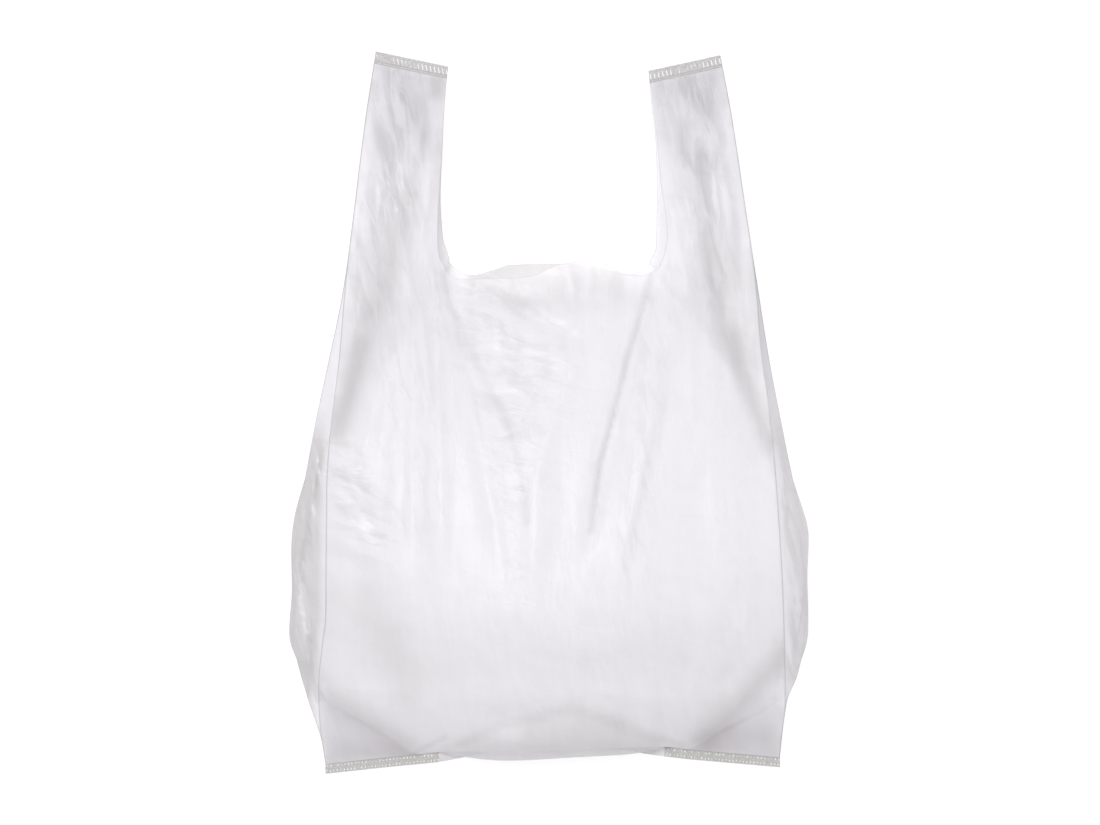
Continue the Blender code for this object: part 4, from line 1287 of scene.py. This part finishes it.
@dataclass(frozen=True)
class BlownFilm:
    """White polythene film, blown thin: cloudy, a little lilac, crinkled, with a soft shine.

    Attributes:
        colour: Colour of the white pigment in the film.
        streak: Colour of the thicker streaks along the bag.
        clung_and_shaded: Grey where layers stick together with no air between them, and of all the painted
            shade.
        fold: Painted shade on the tube's long folds and the cut edges, where the film is seen edge on.
        whitened_and_glint: Colour of the painted glints on sharp crinkles, partly also the white of
            stretched film.
        sliver_shade: Painted shade that the crumpled film's slivers add to the film, taken away where they
            go below nought.
        clear: Share of light that goes straight through one layer.
        cloudy: Share of the rest that goes through scattered.
        gloss: Specular level of the shine.
        roughness: Roughness of the shine.
        index: Index of refraction.
        streaks: Streaks to the metre, across the bag and along it.
        crinkles: Fine crinkles to the metre, across the bag and along it.
        crinkle_height: Height of those crinkles, in metres.
        crinkle_share: Strength of their shading.
        slivers: Attribute that places each kind of sliver, its size in metres, its turn.
        sliver_edges: Noise levels between which a sliver turns from its raised side, with painted shade, to
            its sunk side, with painted light.
        sliver_height: Height of the slivers, in metres.
        glint: Depth of a sliver where its painted glint starts, and where it is fully white.
        fold_shade_range: Levels of the fold weight between which a fold's painted shade grows.
    """

    colour: str = "#FBFAFB"
    streak: str = "#F7F6F9"
    clung_and_shaded: str = "#DCDADA"
    fold: str = "#D3D3D4"
    whitened_and_glint: str = "#FFFFFF"
    sliver_shade: float = 0.57
    clear: float = 0.40
    cloudy: float = 0.50
    gloss: float = 0.40
    roughness: float = 0.34
    index: float = 1.5
    streaks: tuple[float, float, float] = (120.0, 5.0, 1.0)
    crinkles: tuple[float, float, float] = (150.0, 60.0, 1.0)
    crinkle_height: float = 0.0010
    crinkle_share: float = 0.30
    slivers: tuple[tuple[str, tuple[float, float, float], float], ...] = (
        ("crumple", (0.0060, 0.030, 1.0), 0.20),
        ("rumple", (0.028, 0.0085, 1.0), -0.30),
    )
    sliver_edges: tuple[float, float] = (0.39, 0.61)
    sliver_height: float = 0.0006
    glint: tuple[float, float] = (-0.36, -0.52)
    fold_shade_range: tuple[float, float] = (0.60, 0.95)

    def material(self) -> bpy.types.Material:
        """Make the film's material.

        Streaks run along the bag, as they do in blown film, and fine crinkles catch the
        light. Painted shade greys the film where layers stick together, along shaded bands, on
        the folds and on the crumpled slivers, and painted glints whiten the sharp crinkles. They
        give the eye a thin, dry, rustling plastic.

        Returns:
            The material.
        """
        made = bpy.data.materials.new("blown_white_film")
        graph = Graph(made)
        film_map = graph.add_node("UVMap", {"uv_map": "film"}).outputs["UV"]
        streaks = graph.noise(graph.scaled(film_map, self.streaks), Detail=3.0, Roughness=0.6)
        open_film = graph.mix(streaks, linear(self.colour), linear(self.streak))
        slivers = []
        for zone, size, turn in self.slivers:
            laid = {"vector_type": "TEXTURE", "Scale": size, "Rotation": (0.0, 0.0, turn)}
            places = graph.add_node("Mapping", {**laid, "Vector": film_map}).outputs["Vector"]
            rolling = graph.noise(places, Detail=3.0, Roughness=0.55, Distortion=0.7)
            centred = graph.fade(rolling, *self.sliver_edges, 0.5, -0.5, "SMOOTHSTEP")
            slivers.append(graph.maths("MULTIPLY", centred, graph.attribute(zone)))
        crumpled = graph.maths("ADD", *slivers)
        # Grey of layers stuck together, and painted shade from the patches, the gussets and the crumpled
        # slivers.
        cling = graph.attribute("cling")
        cling_and_shade_share = graph.maths("MULTIPLY_ADD", crumpled, self.sliver_shade, cling, clamp=True)
        greyed_film = graph.mix(cling_and_shade_share, open_film, linear(self.clung_and_shaded))
        # Painted shade along the folds and cut edges, where the film is seen edge on.
        edge = graph.fade(graph.attribute("fold"), *self.fold_shade_range)
        fold_shaded_film = graph.mix(edge, greyed_film, linear(self.fold))
        # Painted glints: the sunk side of the slivers goes white, partly also the white of stretched film.
        colour = graph.mix(graph.fade(crumpled, *self.glint), fold_shaded_film, linear(self.whitened_and_glint))
        fine = graph.scaled(film_map, self.crinkles)
        crinkles = graph.noise(fine, Detail=5.0, Roughness=0.62, Distortion=0.9)
        soft_bump = graph.bump(crinkles, self.crinkle_share, self.crinkle_height)
        bump = graph.bump(crumpled, 1.0, self.sliver_height, soft_bump)
        soft = {"Roughness": self.roughness, "IOR": self.index, "Specular IOR Level": self.gloss}
        shine = graph.shader("BsdfPrincipled", {"Base Color": colour, "Normal": bump, **soft})
        through = graph.shader("BsdfTranslucent", {"Color": colour, "Normal": bump})
        straight = graph.shader("BsdfTransparent", {"Color": colour})
        whole = graph.join(self.clear, graph.join(self.cloudy, shine, through), straight)
        graph.add_node("OutputMaterial", {"Surface": whole})
        return made


@dataclass(frozen=True)
class SealedFilm:
    """Film melted together under a ribbed sealing bar: greyer, with pressed marks.

    Attributes:
        name: Name of the material.
        colour: Colour of the melted film.
        pressed: Colour of the lines that the bar's edges pressed.
        marks: Colour of the stretched film in the bar's marks, which is whiter.
        pitch: Distance between the marks, in metres.
        slant: How far the marks lean, as a share of their length.
        first: Distance of the marks' lower ends past the weld's inner line, in metres.
        reach: Length of the marks, in metres.
        mirror: Depth at which the rows of marks repeat, mirrored, in metres.
        seams: Depths of the lines that the bar's edges pressed, in metres.
        gaps: How often the row of marks breaks off, in breaks to the metre.
        kept: Noise levels between which the marks fade in beside a gap.
        rib: Half widths of a mark, full and faded, as shares of the pitch.
        seam_width: Width of the pressed lines, in metres.
        seam_depth: Strength of the pressed lines.
        grain: Grains of the melted film to the metre.
        grain_height: Height of the grains and of the marks, in metres.
        grain_share: Strength of the grains' shading.
        mark_share: Strength of the marks' shading.
        clear: Share of light that goes straight through.
        roughness: Roughness of the shine.
        index: Index of refraction.
    """

    name: str
    colour: str
    pressed: str
    marks: str
    pitch: float
    slant: float
    first: float
    reach: float
    mirror: float
    seams: tuple[float, ...]
    gaps: float
    kept: tuple[float, float] = (0.41, 0.50)
    rib: tuple[float, float] = (0.07, 0.18)
    seam_width: float = 0.0006
    seam_depth: float = 0.85
    grain: float = 900.0
    grain_height: float = 0.0003
    grain_share: float = 0.4
    mark_share: float = 0.5
    clear: float = 0.20
    roughness: float = 0.38
    index: float = 1.5

    def material(self) -> bpy.types.Material:
        """Make the weld's material.

        The melted film is greyer, with a fine grain, dark lines that the bar's edges
        pressed and pale marks in rows. They give the eye a seam that was sealed by heat.

        Returns:
            The material.
        """
        made = bpy.data.materials.new(self.name)
        graph = Graph(made)
        weld_map = graph.add_node("UVMap", {"uv_map": "weld"}).outputs["UV"]
        split = graph.add_node("SeparateXYZ", {0: weld_map})
        along, across = split.outputs["X"], split.outputs["Y"]
        depth = graph.maths("FRACT", across)
        leaning = graph.maths("MULTIPLY_ADD", depth, self.slant, along)
        beat = graph.maths("PINGPONG", leaning, self.pitch / 2)
        mirrored = graph.maths("PINGPONG", depth, self.mirror)
        ribs = graph.fade(beat, *(self.pitch * share for share in self.rib), 1.0, 0.0)
        aside = graph.maths("COMPARE", mirrored, self.first + self.reach / 2, self.reach / 2)
        kept = graph.fade(graph.noise(weld_map, Scale=self.gaps, Detail=2.0), *self.kept)
        mark = graph.maths("MULTIPLY", graph.maths("MULTIPLY", ribs, aside), kept)
        line = 0.0
        for seam in self.seams:
            beside = graph.maths("COMPARE", depth, seam, self.seam_width / 2)
            line = graph.maths("MULTIPLY_ADD", beside, self.seam_depth, line)
        grains = {"Vector": weld_map, "Scale": self.grain, "Randomness": 0.6}
        grain = graph.add_node("TexVoronoi", grains).outputs["Distance"]
        melted = graph.mix(grain, linear(self.colour), linear(self.pressed))
        lined = graph.mix(line, melted, linear(self.pressed))
        colour = graph.mix(mark, lined, linear(self.marks))
        raised = graph.bump(mark, self.mark_share, self.grain_height)
        bump = graph.bump(grain, self.grain_share, self.grain_height, raised)
        soft = {"Roughness": self.roughness, "IOR": self.index}
        shine = graph.shader("BsdfPrincipled", {"Base Color": colour, "Normal": bump, **soft})
        straight = graph.shader("BsdfTransparent", {"Color": colour})
        graph.add_node("OutputMaterial", {"Surface": graph.join(self.clear, shine, straight)})
        return made


FOOT_SEAL = SealedFilm(
    name="heat_sealed_foot", colour="#CBCAC8", pressed="#A3A2A0", marks="#FBFBFB",
    pitch=0.0023, slant=0.12, first=0.0009, reach=0.0012, mirror=0.00325, seams=(0.0001,),
    gaps=420.0,
)
HANDLE_SEAL = SealedFilm(
    name="heat_sealed_handle", colour="#D1CFD0", pressed="#A5A2A3", marks="#F6F5F6",
    pitch=0.0027, slant=0.20, first=0.0024, reach=0.0036, mirror=0.0090, seams=(0.0002, 0.0017),
    gaps=110.0,
)


@dataclass(frozen=True)
class Lamp:
    """One soft square lamp that faces the bag.

    Attributes:
        name: Its name.
        place: Where it hangs, in metres.
        side: Length of its sides, in metres.
        power: Its power, in watts.
    """

    name: str
    place: tuple[float, float, float]
    side: float
    power: float

    def hang(self) -> None:
        """Hang the lamp and turn it to the bag."""
        light = bpy.data.lights.new(self.name, "AREA")
        light.shape = "RECTANGLE"
        light.size = light.size_y = self.side
        light.energy = self.power
        hung = add_object(self.name, light)
        x, y, z = self.place
        aside = math.hypot(x, y)
        hung.location = self.place
        hung.rotation_euler = (math.atan2(aside, z), 0.0, math.atan2(x, -y) if aside else 0.0)


@dataclass
class Studio:
    """Pale floor, soft lamps and the camera over the bag.

    Attributes:
        camera_height: Height of the camera over the floor, in metres.
        scale_height: Height at which the photograph's scale holds, in metres.
        sensor: Width of the camera's sensor, in millimetres.
        floor_size: Length of the floor's sides, in metres.
        floor_depth: How far the floor lies under the bag, in metres.
        floor_white: Light that the floor gives to the camera.
        floor_shaded: Colour by which the floor shows shadow to the camera.
        floor_lit: Colour by which the floor lights the bag.
        white: Colour of the soft light all round.
        world_strength: Strength of that light on the bag.
        lamps: The lamps.
    """

    camera_height: float = 8.0
    scale_height: float = 0.012
    sensor: float = 36.0
    floor_size: float = 12.0
    floor_depth: float = 0.0002
    floor_white: float = 0.88
    floor_shaded: str = "#6F6F6F"
    floor_lit: str = "#EDEDED"
    white: str = "#FFFFFF"
    world_strength: float = 0.42
    lamps: tuple[Lamp, ...] = (
        Lamp("top_lamp", (-1.4, 1.8, 8.6), 2.6, 530.0),
        Lamp("left_lamp", (-1.7, 0.25, 1.2), 0.5, 7.0),
        Lamp("right_lamp", (1.7, 0.2, 1.4), 0.7, 9.0),
    )

    def floor(self) -> bpy.types.Object:
        """Floor whose white comes from its own colour, and which keeps a faint shadow.

        Returns:
            The floor's object.
        """
        half = self.floor_size / 2
        mesh = bpy.data.meshes.new("floor")
        corners = [(x * half, y * half, -self.floor_depth) for x, y in ((-1, -1), (1, -1), (1, 1), (-1, 1))]
        mesh.from_pydata(corners, [], [(0, 1, 2, 3)])
        floor = add_object("floor", mesh)
        made = bpy.data.materials.new("pale_floor")
        graph = Graph(made)
        matt = graph.shader("BsdfDiffuse", {"Color": linear(self.floor_lit)})
        shaded = graph.shader("BsdfDiffuse", {"Color": linear(self.floor_shaded)})
        glow = graph.shader("Emission", {"Color": linear(self.white), "Strength": self.floor_white})
        to_eye = graph.add_node("AddShader", {0: shaded, 1: glow}).outputs[0]
        whole = graph.join(graph.add_node("LightPath").outputs["Is Camera Ray"], matt, to_eye)
        graph.add_node("OutputMaterial", {"Surface": whole})
        mesh.materials.append(made)
        return floor

    def world(self) -> None:
        """White to the camera, and a soft even light to everything else."""
        world = bpy.data.worlds.new("soft_white")
        bpy.context.scene.world = world
        graph = Graph(world)
        colour = linear(self.white)
        soft = graph.shader("Background", {"Color": colour, "Strength": self.world_strength})
        white = graph.shader("Background", {"Color": colour, "Strength": 1.0})
        whole = graph.join(graph.add_node("LightPath").outputs["Is Camera Ray"], soft, white)
        graph.add_node("OutputWorld", {"Surface": whole})

    def camera(self) -> None:
        """Camera straight over the bag, framed as the photograph is."""
        seen = bpy.data.cameras.new("camera")
        seen.sensor_width = self.sensor
        seen.lens = self.sensor * (self.camera_height - self.scale_height) / (PHOTO_WIDTH * PIXEL)
        seen.clip_end = 100.0
        held = add_object("camera", seen)
        held.location = (0.0, 0.0, self.camera_height)
        bpy.context.scene.camera = held

    def build(self) -> None:
        """Set the whole studio up."""
        self.floor()
        self.world()
        for lamp in self.lamps:
            lamp.hang()
        self.camera()
        bpy.context.scene.view_settings.view_transform = "Standard"


def main() -> None:
    """Build the studio and the bag, and report each piece."""
    logging.basicConfig(level=logging.INFO, format="%(name)s: %(message)s")
    Studio().build()
    bag = CarrierBag()
    film = bag.build()
    for finish in (BlownFilm(), FOOT_SEAL, HANDLE_SEAL):
        film.data.materials.append(finish.material())
    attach(film, "root")
    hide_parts("carrier_bag")


if __name__ == "__main__":
    main()
